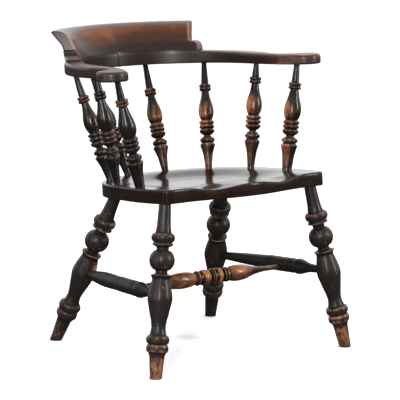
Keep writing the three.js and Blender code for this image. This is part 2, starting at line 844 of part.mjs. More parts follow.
// What is sawn away above the low step at each end, whose outer corner is rounded off
function wasteSection(angle) {
  const roundAngle = crest.stepRound / bow.backDepth;
  const past = THREE.MathUtils.clamp((Math.abs(angle) - crest.stepAngle) / roundAngle + 1, 0, 1);
  const floor = crest.stepHeight - crest.stepRound * (1 - Math.sqrt(1 - past ** 2));
  const [tipX, tipY] = crest.tip;
  return [
    new THREE.Vector2(-overcut, floor),
    new THREE.Vector2(tipX + overcut, floor),
    new THREE.Vector2(tipX + overcut, tipY + overcut),
    new THREE.Vector2(-overcut, tipY + overcut),
  ];
}
const wasteSteps = 20;
const pastEnd = crest.stepAngle + overcut / bow.backDepth;
for (const side of [-1, 1]) {
  const from = side < 0 ? -pastEnd : crest.endAngle;
  const to = side < 0 ? -crest.endAngle : pastEnd;
  const waste = new THREE.Mesh(crestGeometry(wasteSection, from, to, wasteSteps));
  armPlane.add(waste);
  cut(crestMesh, [waste]);
  armPlane.remove(waste);
}

// Screws stand head down in the arms' underside and reach up into the crest
function screwTurning(gap) {
  return new Turning(-gap).at(screw.head + 2 * gap)
    .taper(screw.headHeight + gap, screw.shank + 2 * gap)
    .taper(screw.length - screw.headHeight - screw.point, screw.shank + 2 * gap)
    .taper(screw.point + gap, screw.pointDiameter + 2 * gap)
    .turn(screw.sides);
}
let screwNumber = 1;
for (const [i, side] of [[0, -1], [1, 1]]) {
  for (const angle of screw.bowAngles) {
    const plan = bowPoint(side * angle);
    const from = onArms(plan.x, plan.y, screw.sunk);
    const to = onArms(plan.x, plan.y, screw.length);
    aim(piece(`crest_screw_${screwNumber}`, screwTurning(0), steel), from, to);
    const hole = aim(new THREE.Mesh(screwTurning(glueGap)), from, to);
    const well = new Turning(-overcut).at(screw.head + 2 * glueGap)
      .taper(overcut, screw.head + 2 * glueGap)
      .turn(screw.sides);
    const opening = aim(new THREE.Mesh(well), from, to);
    cut(arms[i], [hole, opening]);
    cut(crestMesh, [hole]);
    screwNumber += 1;
  }
}

// Dowels lie across the butt joint of the arms
for (const [word, side] of [['upper', 1], ['lower', -1]]) {
  const plan = bowPoint(0);
  const y = plan.y + (side * dowel.spacing) / 2;
  const from = onArms(-dowel.reach, y, bow.thicknessBack / 2);
  const to = onArms(dowel.reach, y, bow.thicknessBack / 2);
  const body = new Turning(0).at(dowel.diameter).taper(2 * dowel.reach, dowel.diameter).turn(dowel.sides);
  const mesh = aim(piece(`joint_dowel_${word}`, body, wornWood), from, to);
  mesh.userData.sides = dowel.sides;
  const hole = mortise(mesh, dowel.diameter, -glueGap, 2 * dowel.reach + glueGap);
  for (const arm of arms) cut(arm, [hole]);
}

// The origin goes to the middle of the footprint box, on the floor
chair.updateMatrixWorld(true);
const box = new THREE.Box3().setFromObject(chair, true);
const middle = box.getCenter(new THREE.Vector3());
chair.position.set(-middle.x, -middle.y, -box.min.z);

export default chair;
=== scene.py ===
# %% [markdown]
# # A captains chair in worn, stained wood
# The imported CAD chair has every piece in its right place, but its turnings have ten or twelve sides and
# its wood is plain. This lesson makes each piece again, round and fine, in exactly the same place, and
# gives it an old dark stain that hands, backs and shoes have worn through.
#
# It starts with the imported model, which is a fixed frame: nothing in it moves.

# %% Load the frame
import math

import bmesh
import bpy
import numpy as np
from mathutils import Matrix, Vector
from mathutils.geometry import delaunay_2d_cdt


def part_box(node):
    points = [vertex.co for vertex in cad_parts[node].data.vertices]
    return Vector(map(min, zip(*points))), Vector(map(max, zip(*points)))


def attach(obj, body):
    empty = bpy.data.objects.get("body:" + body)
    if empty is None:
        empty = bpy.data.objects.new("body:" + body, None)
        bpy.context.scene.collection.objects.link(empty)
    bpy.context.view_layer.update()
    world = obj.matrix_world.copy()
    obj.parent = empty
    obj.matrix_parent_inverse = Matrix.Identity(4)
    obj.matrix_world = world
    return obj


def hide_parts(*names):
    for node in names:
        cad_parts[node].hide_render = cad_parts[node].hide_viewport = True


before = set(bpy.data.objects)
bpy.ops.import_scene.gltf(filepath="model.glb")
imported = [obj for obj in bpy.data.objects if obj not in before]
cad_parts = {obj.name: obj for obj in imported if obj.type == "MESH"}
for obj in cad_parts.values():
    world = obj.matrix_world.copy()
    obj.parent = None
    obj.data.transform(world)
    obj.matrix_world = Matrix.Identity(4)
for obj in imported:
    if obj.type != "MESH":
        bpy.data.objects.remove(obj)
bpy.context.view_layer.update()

# %% [markdown]
# ## One way to write down places
# The chair was drawn in millimetres, with the front and back feet equally far from y = 0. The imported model
# is in metres and stands on the middle of its footprint. One function takes every point from the drawing
# to the model. The seat and the arms lie in planes that fall to the back, so they get one more function.

# %% From the drawing to the model
MM = 0.001
TINY = 1e-12        # keeps a division by nothing harmless
drawing_shift_y = -68.509
seat_height, seat_tilt = 389.6, math.radians(4.56)
arm_tilt = math.radians(3.66)


def in_model(points):
    """Drawing millimetres to the model's metres."""
    return (np.asarray(points, float) + (0, drawing_shift_y, 0)) * MM


def tilted(points, tilt, height):
    """Points of a plane that falls to the back, in drawing millimetres."""
    x, y, z = np.moveaxis(np.asarray(points, float), -1, 0)
    return np.stack([
        x + 0 * y,
        y * math.cos(tilt) + z * math.sin(tilt),
        height - y * math.sin(tilt) + z * math.cos(tilt),
    ], -1)


def on_seat(x, y, z):
    return tilted([x, y, z], seat_tilt, seat_height)


print("the drawing's origin in the model, in metres:", in_model([0, 0, 0]))


# %% [markdown]
# ## The camera, the floor and the light
# The photograph was taken from the chair's front left, a little above the seat, with a long lens from
# about seven metres. The camera looks at a point 400 mm above the floor. The picture's middle lies a
# little beside that point, which the lens shift gives without turning the camera.

# %% Camera
camera_azimuth, camera_elevation = math.radians(-36.69), math.radians(9.46)
camera_distance = 6.941
aim_point = Vector(in_model([0, 0, 400]))
picture_pixels, focal_pixels = 400, 2808
picture_middle = (192.0, 186.2)

view_back = Vector((
    math.sin(camera_azimuth) * math.cos(camera_elevation),
    -math.cos(camera_azimuth) * math.cos(camera_elevation),
    math.sin(camera_elevation),
))
camera = bpy.data.objects.new("camera", bpy.data.cameras.new("camera"))
bpy.context.scene.collection.objects.link(camera)
camera.location = aim_point + camera_distance * view_back
camera.rotation_mode = "QUATERNION"
camera.rotation_quaternion = (-view_back).to_track_quat("-Z", "Y")
camera.data.sensor_width = 36
camera.data.lens = camera.data.sensor_width * focal_pixels / picture_pixels
camera.data.shift_x = (picture_pixels / 2 - picture_middle[0]) / picture_pixels
camera.data.shift_y = (picture_middle[1] - picture_pixels / 2) / picture_pixels
bpy.context.scene.camera = camera
print("lens in mm:", round(camera.data.lens, 1))


# %% [markdown]
# One small function adds a node with its settings and links. It serves the materials and the Geometry
# Nodes trees alike. Another turns the usual sRGB hex colours to the linear values that shaders work in.

# %% Nodes and colours
def add(tree, kind, settings=None, inputs=None):
    """Adds a node. An input is a value, a socket, a node (its first live output) or a tuple of nodes."""
    node = tree.nodes.new(kind)
    for name, value in (settings or {}).items():
        setattr(node, name, value)
    for key, value in (inputs or {}).items():
        named = [s for s in node.inputs if s.enabled and s.name == key]
        socket = node.inputs[key] if isinstance(key, int) else named[0]
        several = isinstance(value, tuple) and isinstance(value[0], bpy.types.Node)
        for one in value if several else (value,):
            if isinstance(one, bpy.types.Node):
                one = next(s for s in one.outputs if s.enabled)
            if isinstance(one, bpy.types.NodeSocket):
                tree.links.new(one, socket)
            else:
                socket.default_value = one
    return node


def linear(hex_colour):
    """An sRGB hex colour as linear RGBA."""
    channels = [int(hex_colour[i:i + 2], 16) / 255 for i in (1, 3, 5)]
    return [c / 12.92 if c <= 0.04045 else ((c + 0.055) / 1.055) ** 2.4 for c in channels] + [1]


def new_material(name):
    """A material and its node tree, still empty."""
    material = bpy.data.materials.new(name)
    material.use_nodes = True
    material.node_tree.nodes.clear()
    return material, material.node_tree


print("a nearly black stain in linear light:", [round(value, 4) for value in linear("#161210")])


# %% [markdown]
# The floor is a pale paper sweep that runs on far behind the chair, so it fills the picture. The polish
# doesn't mirror the paper itself: it sees the dark lower half of the room there, so the turnings stay
# black up to their very edges.

# %% Floor
floor_half = 40


def make_floor():
    material, tree = new_material("white_paper")
    place = add(tree, "ShaderNodeTexCoord").outputs["Object"]
    # Paper fibres 2 mm across, hardly seen, and a soft unevenness half a metre across
    fibres = add(tree, "ShaderNodeTexNoise", None, {"Vector": place, "Scale": 500, "Detail": 2})
    clouds = add(tree, "ShaderNodeTexNoise", None, {"Vector": place, "Scale": 2, "Detail": 1})
    colour = add(tree, "ShaderNodeMix", {"data_type": "RGBA"},
                 {"Factor": clouds, "A": linear("#f6f6f6"), "B": linear("#f9f9f9")})
    bump = add(tree, "ShaderNodeBump", None, {"Strength": 0.2, "Distance": 0.0001, "Height": fibres})
    paper = add(tree, "ShaderNodeBsdfPrincipled", None,
                {"Base Color": colour, "Roughness": 0.95, "Specular IOR Level": 0.1, "Normal": bump})
    add(tree, "ShaderNodeOutputMaterial", None, {"Surface": paper})
    corners = [(floor_half * x, floor_half * y, 0) for x, y in ((-1, -1), (1, -1), (1, 1), (-1, 1))]
    mesh = bpy.data.meshes.new("floor")
    mesh.from_pydata(corners, [], [(0, 1, 2, 3)])
    mesh.materials.append(material)
    sweep = bpy.data.objects.new("floor", mesh)
    sweep.visible_glossy = False
    bpy.context.scene.collection.objects.link(sweep)
    return sweep


floor = make_floor()
print("floor:", 2 * floor_half, "m each way")

# %% [markdown]
# A wide overcast sun lights the chair evenly from above and leaves hardly any shadow. Two tall soft boxes
# to the left and one to the right draw the long white streaks on the polished turnings.

# %% Lights
def softbox(name, place, size, power):
    light = bpy.data.objects.new(name, bpy.data.lights.new(name, "AREA"))
    light.data.shape = "RECTANGLE"
    light.data.size, light.data.size_y = size
    light.data.energy = power
    light.location = place
    light.rotation_mode = "QUATERNION"
    light.rotation_quaternion = (aim_point - Vector(place)).to_track_quat("-Z", "Y")
    bpy.context.scene.collection.objects.link(light)


def overcast_sun(strength, spread):
    """Even light from straight above. The spread is the angle that the bright patch of sky takes up."""
    sun = bpy.data.objects.new("light_above", bpy.data.lights.new("light_above", "SUN"))
    sun.data.energy, sun.data.angle = strength, math.radians(spread)
    bpy.context.scene.collection.objects.link(sun)


overcast_sun(strength=1.3, spread=100)
softbox("light_left", place=(-3.7, -0.5, 1.4), size=(0.9, 2.2), power=45)
softbox("light_front_left", place=(-3.2, -3.2, 1.9), size=(0.45, 2.2), power=220)
softbox("light_right", place=(2.6, -3.4, 1.9), size=(0.35, 2.2), power=150)


# %% [markdown]
# The room is dim on the camera's side and white behind the chair, which is what the seat and the arm tops
# mirror at this flat angle. Below the horizon it is dark.

# %% The room
def studio_room(dim, bright):
    """A world that is dim on the camera's side and bright behind the chair."""
    world = bpy.data.worlds.new("studio")
    world.use_nodes = True
    world.node_tree.nodes.clear()
    tree = world.node_tree
    towards = add(tree, "ShaderNodeTexCoord").outputs["Generated"]
    away = add(tree, "ShaderNodeVectorMath", {"operation": "DOT_PRODUCT"},
               {0: towards, 1: (-view_back.x, -view_back.y, 0)}).outputs["Value"]
    behind = add(tree, "ShaderNodeMapRange", {"interpolation_type": "SMOOTHSTEP"},
                 {"Value": away, "From Min": -0.3, "From Max": 0.5, "To Min": dim, "To Max": bright})
    height = add(tree, "ShaderNodeSeparateXYZ", None, {"Vector": towards}).outputs["Z"]
    above = add(tree, "ShaderNodeMapRange", {"interpolation_type": "SMOOTHSTEP"},
                {"Value": height, "From Min": -0.06, "From Max": 0.02, "To Min": 0.05})
    strength = add(tree, "ShaderNodeMath", {"operation": "MULTIPLY"}, {0: behind, 1: above})
    sky = add(tree, "ShaderNodeBackground", None, {"Color": linear("#ffffff"), "Strength": strength})
    add(tree, "ShaderNodeOutputWorld", None, {"Surface": sky})
    return world


bpy.context.scene.world = studio_room(dim=0.3, bright=1.4)
bpy.context.scene.view_settings.view_transform = "Standard"
print("room:", len(bpy.context.scene.world.node_tree.nodes), "nodes")


# %% [markdown]
# ## Where old wood wears
# Stain and polish go first where a surface stands proud: ring edges, corners, the crown of a swelling.
# Dirt stays where it lies low, and shade is painted there with it. A small Geometry Nodes tree measures
# that. It blurs the mesh's own points, so that each slides towards the middle of its neighbours, and
# stores how far the real surface stands above them.

# %% The wear map
def new_tree(name, inputs):
    """An empty Geometry Nodes tree with named inputs: (label, socket type, value)."""
    tree = bpy.data.node_groups.new(name, "GeometryNodeTree")
    tree.interface.new_socket("Geometry", in_out="INPUT", socket_type="NodeSocketGeometry")
    for label, kind, value in inputs:
        socket = tree.interface.new_socket(label, in_out="INPUT", socket_type=kind)
        if value is not None:
            socket.default_value = value
    tree.interface.new_socket("Geometry", in_out="OUTPUT", socket_type="NodeSocketGeometry")
    return tree, tree.nodes.new("NodeGroupInput").outputs


def make_wear_tree():
    tree, given = new_tree("wear_map", [
        ("Blur steps", "NodeSocketInt", 24),
        ("Full wear", "NodeSocketFloat", 0.001),
    ])
    position = add(tree, "GeometryNodeInputPosition")
    blurred = add(tree, "GeometryNodeBlurAttribute", {"data_type": "FLOAT_VECTOR"},
                  {"Value": position, "Iterations": given["Blur steps"]})
    raised = add(tree, "ShaderNodeVectorMath", {"operation": "SUBTRACT"}, {0: position, 1: blurred})
    normal = add(tree, "GeometryNodeInputNormal")
    height = add(tree, "ShaderNodeVectorMath", {"operation": "DOT_PRODUCT"}, {0: raised, 1: normal})
    share = add(tree, "ShaderNodeMath", {"operation": "DIVIDE"},
                {0: height.outputs["Value"], 1: given["Full wear"]})
    share = add(tree, "ShaderNodeMath", {"operation": "MINIMUM"}, {0: share, 1: 2})
    stored = add(tree, "GeometryNodeStoreNamedAttribute", {"data_type": "FLOAT", "domain": "POINT"},
                 {"Geometry": given["Geometry"], "Name": "exposure", "Value": share})
    add(tree, "NodeGroupOutput", None, {"Geometry": stored})
    return tree


wear_tree = make_wear_tree()
print("wear map:", len(wear_tree.nodes), "nodes")


# %% [markdown]
# ## Turned pieces
# Fifteen pieces of this chair come off a lathe: four legs, eight spindles and three stretchers. Each is a
# flat outline spun round its axis. A tree does the spinning: a grid has one column for each side and one
# row for each point of the outline, and every grid point is sent to its place on the turned surface. The
# place on the lathe is stored too, because the grain runs along it.

# %% The lathe
def make_lathe_tree():
    tree, given = new_tree("lathe", [
        ("Sides", "NodeSocketInt", 48),
        ("From", "NodeSocketVector", (0, 0, 0)),
        ("Towards", "NodeSocketVector", (0, 0, 1)),
        ("Merge", "NodeSocketFloat", 0.00001),
        ("Material", "NodeSocketMaterial", None),
    ])
    outline = given["Geometry"]
    rows = add(tree, "GeometryNodeAttributeDomainSize", {"component": "MESH"},
               {"Geometry": outline}).outputs["Point Count"]
    columns = add(tree, "ShaderNodeMath", {"operation": "ADD"}, {0: given["Sides"], 1: 1})
    grid = add(tree, "GeometryNodeMeshGrid", None, {"Vertices X": columns, "Vertices Y": rows})

    # Which point of the outline each row shows, and how much that point is worn
    across = add(tree, "ShaderNodeSeparateXYZ", None, {"Vector": grid.outputs["UV Map"]})
    last_row = add(tree, "ShaderNodeMath", {"operation": "SUBTRACT"}, {0: rows, 1: 1})
    row = add(tree, "ShaderNodeMath", {"operation": "MULTIPLY"}, {0: across.outputs["Y"], 1: last_row})
    row = add(tree, "ShaderNodeMath", {"operation": "ROUND"}, {0: row})
    position = add(tree, "GeometryNodeInputPosition")
    drawn = add(tree, "GeometryNodeSampleIndex", {"data_type": "FLOAT_VECTOR", "domain": "POINT"},
                {"Geometry": outline, "Value": position, "Index": row})
    drawn_wear = add(tree, "GeometryNodeInputNamedAttribute", {"data_type": "FLOAT"}, {"Name": "exposure"})
    wear = add(tree, "GeometryNodeSampleIndex", {"data_type": "FLOAT", "domain": "POINT"},
               {"Geometry": outline, "Value": drawn_wear, "Index": row})

    # The spin: a radius, an angle and a height
    drawn = add(tree, "ShaderNodeSeparateXYZ", None, {"Vector": drawn})
    radius = drawn.outputs["X"]
    angle = add(tree, "ShaderNodeMath", {"operation": "MULTIPLY"},
                {0: across.outputs["X"], 1: 2 * math.pi})
    waves = [add(tree, "ShaderNodeMath", {"operation": wave}, {0: angle}) for wave in ("COSINE", "SINE")]
    x, y = [add(tree, "ShaderNodeMath", {"operation": "MULTIPLY"}, {0: radius, 1: wave}) for wave in waves]
    place = add(tree, "ShaderNodeCombineXYZ", None, {"X": x, "Y": y, "Z": drawn.outputs["Z"]})
    turned = add(tree, "GeometryNodeSetPosition", None,
                 {"Geometry": grid.outputs["Mesh"], "Position": place})
    turned = add(tree, "GeometryNodeStoreNamedAttribute", {"data_type": "FLOAT", "domain": "POINT"},
                 {"Geometry": turned, "Name": "exposure", "Value": wear})
    closed = add(tree, "GeometryNodeMergeByDistance", None,
                 {"Geometry": turned, "Distance": given["Merge"]})
    grained = add(tree, "GeometryNodeStoreNamedAttribute", {"data_type": "FLOAT_VECTOR", "domain": "POINT"},
                  {"Geometry": closed, "Name": "grain", "Value": position})

    # Off the lathe and into the chair
    axis = add(tree, "ShaderNodeVectorMath", {"operation": "SUBTRACT"},
               {0: given["Towards"], 1: given["From"]})
    aimed = add(tree, "FunctionNodeAlignRotationToVector", {"axis": "Z"}, {"Vector": axis})
    placed = add(tree, "GeometryNodeTransform", None,
                 {"Geometry": grained, "Translation": given["From"], "Rotation": aimed})
    smooth = add(tree, "GeometryNodeSetShadeSmooth", None, {"Geometry": placed})
    real = add(tree, "GeometryNodeRealizeInstances", None, {"Geometry": smooth})
    finished = add(tree, "GeometryNodeSetMaterial", None, {"Geometry": real, "Material": given["Material"]})
    add(tree, "NodeGroupOutput", None, {"Geometry": finished})
    return tree


lathe_tree = make_lathe_tree()
print("lathe:", len(lathe_tree.nodes), "nodes")


# %% [markdown]
# A modifier's inputs are set by their identifiers, before anything looks at the object. The result is then
# copied to a plain mesh, because that is what rides on the frame.

# %% Run a tree and keep its result
def run_tree(name, mesh, tree, values):
    """The mesh that a tree makes of another mesh, as a new object at the origin."""
    source = bpy.data.objects.new("source", mesh)
    bpy.context.scene.collection.objects.link(source)
    modifier = source.modifiers.new("tree", "NODES")
    modifier.node_group = tree
    for item in tree.interface.items_tree:
        if item.in_out == "INPUT" and item.name in values:
            modifier[item.identifier] = values[item.name]
    evaluated = source.evaluated_get(bpy.context.evaluated_depsgraph_get())
    made = bpy.data.meshes.new_from_object(evaluated)
    made.name = name
    bpy.data.objects.remove(source)
    piece = bpy.data.objects.new(name, made)
    bpy.context.scene.collection.objects.link(piece)
    return piece


print("trees so far:", [tree.name for tree in bpy.data.node_groups])


# %% [markdown]
# Where a piece is rubbed depends on its shape and its place, so numbers go back and forth between a mesh's
# points and plain arrays. The volume tells whether a mesh is closed and its faces point outwards.

# %% Numbers on the points
def vectors_of(items):
    """Blender's vectors as rows of three numbers."""
    values = np.zeros(3 * len(items), np.float32)
    items.foreach_get("vector", values)
    return values.reshape(-1, 3).astype(float)


def points_of(mesh, attribute="position"):
    """The place of each point, or another vector that is stored on the points."""
    return vectors_of(mesh.attributes[attribute].data)


def normals_of(mesh):
    """The surface normal at each point."""
    return vectors_of(mesh.vertex_normals)


def store(mesh, name, values):
    """Keeps one number for each point, for the materials."""
    found = mesh.attributes.get(name) or mesh.attributes.new(name, "FLOAT", "POINT")
    found.data.foreach_set("value", np.asarray(values, np.float32).ravel())


def volume_of(mesh):
    """The closed volume in cubic centimetres: negative if the faces point inwards."""
    mesh.calc_loop_triangles()
    corners = np.zeros(3 * len(mesh.loop_triangles), np.int32)
    mesh.loop_triangles.foreach_get("vertices", corners)
    a, b, c = points_of(mesh)[corners.reshape(-1, 3)].transpose(1, 0, 2)
    return 1e6 * float(np.einsum("ij,ij->i", a, np.cross(b, c)).sum()) / 6


print("the floor's corners:", points_of(floor.data)[:, :2].tolist())

# %% [markdown]
# Every new piece rides on the frame's only body and stands for one CAD node, which it hides. How far its
# box is off the node's shows at once whether it sits in the right place.


def fit(piece, node):
    """Puts a piece in the place of a CAD node, and prints how far its box lies from the node's, in mm."""
    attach(piece, "root")
    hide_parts(node)
    points = points_of(piece.data)
    low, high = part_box(node)
    off = max(np.abs(points.min(0) - low).max(), np.abs(points.max(0) - high).max())
    print(f"{piece.name}: {len(piece.data.vertices)} points, {volume_of(piece.data):.0f} cm3,",
          f"box off {off / MM:.1f} mm")


# %% [markdown]
# A swelling is a smooth curve through a few measured thicknesses. Its slope at each of them is that between
# the ones before and after it, so the curve has no kinks.

# %% A smooth curve
def through(stations, samples=24):
    """A smooth curve through some points, with that many steps between two of them."""
    stations = [np.array(s, float) for s in stations]
    curve = [stations[0]]
    for i, (start, end) in enumerate(zip(stations, stations[1:])):
        before = stations[max(i - 1, 0)]
        after = stations[min(i + 2, len(stations) - 1)]
        leave, arrive = (end - before) / 2, (after - start) / 2
        for t in np.arange(1, samples + 1) / samples:
            curve.append(
                (2 * start - 2 * end + leave + arrive) * t ** 3
                + (-3 * start + 3 * end - 2 * leave - arrive) * t ** 2
                + leave * t + start
            )
    return curve


print("points through three stations:", len(through([(0, 0), (1, 5), (0, 10)])))


# %% [markdown]
# The turner's outline is walked along the lathe, as a turner marks out a blank: so far at this thickness,
# then a ring, then a long swelling. At the end the outline is cut into steps of a millimetre and eased
# twice, which rounds the edges as use has rounded them.

# %% A turned outline
class Turning:
    """A turned outline in millimetres. Each point is a radius and a height along the lathe."""

    def __init__(self, start):
        self.height = start
        self.points = [(0, start)]

    def at(self, diameter):
        self.points.append((diameter / 2, self.height))
        return self

    def taper(self, length, diameter):
        self.height += length
        return self.at(diameter)

    def swell(self, stations):
        path = [self.points[-1]]
        for length, diameter in stations:
            self.height += length
            path.append((diameter / 2, self.height))
        self.points += through(path)[1:]
        return self

    def bead(self, length, diameter, root, fullness=1.0, steps=20):
        """A ring: half an ellipse at fullness 1, and squarer below that."""
        for i in range(steps + 1):
            angle = math.pi * i / steps
            radius = root / 2 + (diameter - root) / 2 * math.sin(angle) ** fullness
            self.points.append((radius, self.height + length * (1 - math.cos(angle)) / 2))
        self.height += length
        return self

    def outline(self, step=1.0, easing=2):
        """The whole outline in even steps, closed on the axis."""
        points = np.array([*self.points, (0, self.height)], float)
        lengths = np.hypot(*np.diff(points, axis=0).T)
        along = np.concatenate([[0], np.cumsum(lengths)])
        even = np.linspace(0, along[-1], round(along[-1] / step))
        points = np.stack([np.interp(even, along, points[:, k]) for k in (0, 1)], -1)
        for _ in range(easing):
            points[1:-1] = (points[:-2] + 2 * points[1:-1] + points[2:]) / 4
        return points


ring = Turning(0).bead(length=20, diameter=50, root=30)
print("a ring's outline:", len(ring.outline()), "points")

# %% [markdown]
# The wear map of a turned piece is measured on its outline, before the lathe spins it. Points go one
# millimetre apart, so the reach of the blur is in millimetres too.

# %% Spin an outline
def outline_exposure(outline, reach=3.0, full_wear=0.5):
    """How far each point stands above the outline blurred over some millimetres: 1 is full wear."""
    steps = np.arange(-3 * reach, 3 * reach + 1)
    weights = np.exp(-0.5 * (steps / reach) ** 2)
    weights /= weights.sum()
    padded = np.pad(outline, ((len(steps) // 2,) * 2, (0, 0)), mode="edge")
    blurred = np.stack([np.convolve(padded[:, k], weights, "valid") for k in (0, 1)], -1)
    along = np.gradient(outline, axis=0)
    outwards = np.stack([along[:, 1], -along[:, 0]], -1)
    outwards /= np.maximum(np.linalg.norm(outwards, axis=1, keepdims=True), TINY)
    return ((outline - blurred) * outwards).sum(1) / full_wear


def turn(name, turning, start, towards, material, sides):
    """Spins an outline round the line from one drawing point towards another."""
    outline = turning.outline()
    mesh = bpy.data.meshes.new(name)
    edges = [(i, i + 1) for i in range(len(outline) - 1)]
    mesh.from_pydata([(r * MM, 0, h * MM) for r, h in outline], edges, [])
    store(mesh, "exposure", outline_exposure(outline))
    return run_tree(name, mesh, lathe_tree, {
        "Sides": sides,
        "From": tuple(in_model(start)),
        "Towards": tuple(in_model(towards)),
        "Material": material,
    })


print("the ring's crown is worn by", round(float(outline_exposure(ring.outline()).max()), 2))

# %% [markdown]
# ## The finish
# The wood is beech or elm with an old spirit stain, nearly black, under shellac and a century of polish.
# Four layers show: the black stain, thinner and warmer where the grain took less of it, orange brown where
# polish and stain are rubbed through, and nearly bare wood where the rubbing was hardest. Grooves keep
# black dirt, and the same black paints the shade in them. All finishes of the chair are this one recipe with
# other amounts.

# %% Stained and worn wood
# Black of the dirt in grooves, also used as the shade painted in them
dirt_and_shade_colour = "#090807"


def stained_wood(name, layers, wear, edges, uneven, grooves, chips, gloss, shine, coat):
    """The stained wood of one kind of piece. The four layers go from the stain down to bare wood.

    The wear is how far the whole piece is rubbed: at 0 half of the stain is through, at -1 hardly any. The
    edges add to it where a surface stands proud, and uneven is how ragged it is. Dirt and painted shade
    start at the depth grooves, and the chips are small knocks.
    """
    material, tree = new_material(name)
    grain = add(tree, "ShaderNodeAttribute", {"attribute_name": "grain"}).outputs["Vector"]
    exposure = add(tree, "ShaderNodeAttribute", {"attribute_name": "exposure"}).outputs["Fac"]
    # Rubbing stored on each piece's points; on the cross stretcher it also holds painted shade from above
    rub = add(tree, "ShaderNodeAttribute", {"attribute_name": "rub"}).outputs["Fac"]
    place = add(tree, "ShaderNodeTexCoord").outputs["Object"]

    # Fibres 1.2 mm wide and 25 mm long, drawn coarser than real ones so that they show
    along_fibres = add(tree, "ShaderNodeMapping", None, {"Vector": grain, "Scale": (1, 1, 0.05)})
    fibres = add(tree, "ShaderNodeTexNoise", None, {"Vector": along_fibres, "Scale": 850, "Detail": 3})
    # Ragged rubbing, 7 mm wide and 16 mm long with the grain
    along_grain = add(tree, "ShaderNodeMapping", None, {"Vector": grain, "Scale": (1, 1, 0.45)})
    ragged = add(tree, "ShaderNodeTexNoise", None,
                 {"Vector": along_grain, "Scale": 140, "Detail": 5, "Roughness": 0.62, "Distortion": 0.3})
    # Uneven use, 50 mm across
    patches = add(tree, "ShaderNodeTexNoise", None, {"Vector": place, "Scale": 20, "Detail": 2})
    # Knocks that took the finish off, 2 to 5 mm across
    knocks = add(tree, "ShaderNodeTexNoise", None, {"Vector": place, "Scale": 180, "Detail": 2})

    # How far through the finish each place is
    amount = add(tree, "ShaderNodeMath", {"operation": "MULTIPLY_ADD"}, {0: exposure, 1: edges, 2: rub})
    amount = add(tree, "ShaderNodeMath", {"operation": "ADD"}, {0: amount, 1: wear})
    for noise, strength in ((ragged, 2.2), (patches, 1.8), (fibres, 1.2)):
        middle = add(tree, "ShaderNodeMath", {"operation": "SUBTRACT"}, {0: noise, 1: 0.5})
        amount = add(tree, "ShaderNodeMath", {"operation": "MULTIPLY_ADD"},
                     {0: middle, 1: strength * uneven, 2: amount})

    # What shows over the stain, each from one value to another, and how much of it at most
    stain, warmer, worn_through, bare = layers
    colour = linear(stain)
    for value, first, last, most, cover in (
            (amount, -0.8, 0.1, 1, warmer),
            (amount, -0.1, 0.5, 1, worn_through),
            (amount, 0.5, 1.4, 1, bare),
            (knocks, 0.76 - chips, 0.79 - chips, 1, worn_through),
            # Dirt in the grooves, which also paints the shade that falls in them
            (exposure, grooves, grooves - 0.6, 0.95, dirt_and_shade_colour)):
        mask = add(tree, "ShaderNodeMapRange", {"interpolation_type": "SMOOTHSTEP"},
                   {"Value": value, "From Min": first, "From Max": last, "To Max": most})
        colour = add(tree, "ShaderNodeMix", {"data_type": "RGBA"},
                     {"Factor": mask, "A": colour, "B": linear(cover)})

    # Polish is dulled where it is rubbed through, and in the dirt and painted shade of the grooves, which
    # the last mask shows
    worn = add(tree, "ShaderNodeMapRange", None, {"Value": amount, "From Min": -0.1, "From Max": 0.3})
    roughness = add(tree, "ShaderNodeMath", {"operation": "MULTIPLY_ADD"}, {0: worn, 1: 0.12, 2: gloss})
    roughness = add(tree, "ShaderNodeMath", {"operation": "MULTIPLY_ADD"}, {0: mask, 1: 0.2, 2: roughness})

    # Fibres and rubbing stand a few hundredths of a millimetre deep, and the hand tool left soft waves
    relief = add(tree, "ShaderNodeMath", {"operation": "MULTIPLY"}, {0: patches, 1: 1.5})
    for noise, strength in ((ragged, 0.25), (fibres, 0.1)):
        relief = add(tree, "ShaderNodeMath", {"operation": "MULTIPLY_ADD"},
                     {0: noise, 1: strength, 2: relief})
    bump = add(tree, "ShaderNodeBump", None, {"Strength": 0.6, "Distance": 0.0006, "Height": relief})
    shader = add(tree, "ShaderNodeBsdfPrincipled", None, {
        "Base Color": colour,
        "Roughness": roughness,
        "Normal": bump,
        "IOR": 1.5,
        "Specular IOR Level": shine,
        "Coat Weight": coat,
        "Coat IOR": 1.25,
        "Coat Roughness": gloss / 2,
    })
    add(tree, "ShaderNodeOutputMaterial", None, {"Surface": shader})
    return material


# Satin black on the legs: a dry, even darkness with orange knocks and rubbed ring edges
leg_finish = stained_wood(
    "beech_black_stain_legs", ("#161210", "#2a1e17", "#6e452a", "#9c6b42"),
    wear=-1.05, edges=0.6, uneven=1.2, grooves=-0.1, chips=0.062, gloss=0.48, shine=0.14, coat=0.45)
print(leg_finish.name, "has", len(leg_finish.node_tree.nodes), "nodes")

# %% [markdown]
# The other pieces were used in other ways. Spindles and arms were polished more, the seat most, and the
# crest was stained a warmer brown. Only the numbers and colours of the recipe change.

# %% The other finishes
# Polished black on the spindles, which goes to a warm orange brown towards the sitter
spindle_finish = stained_wood(
    "beech_black_polish_spindles", ("#110d0b", "#3f2418", "#844e30", "#b98353"),
    wear=-1.2, edges=0.4, uneven=1.0, grooves=0.3, chips=0.04, gloss=0.34, shine=0.1, coat=1.0)
# The side stretchers were kicked least: black and dull
side_finish = stained_wood(
    "beech_black_stain_side_stretchers", ("#110f0d", "#1c1815", "#4a3225", "#8a5a35"),
    wear=-1.0, edges=0.25, uneven=0.8, grooves=-0.1, chips=0.0, gloss=0.48, shine=0.14, coat=0.15)
# Shoes have taken the stain off the cross stretcher: golden brown wood, soft and dry
cross_finish = stained_wood(
    "beech_rubbed_cross_stretcher", ("#120c09", "#3a2318", "#7d5030", "#b88650"),
    wear=-0.7, edges=0.15, uneven=0.75, grooves=0.0, chips=0.02, gloss=0.34, shine=0.12, coat=0.9)
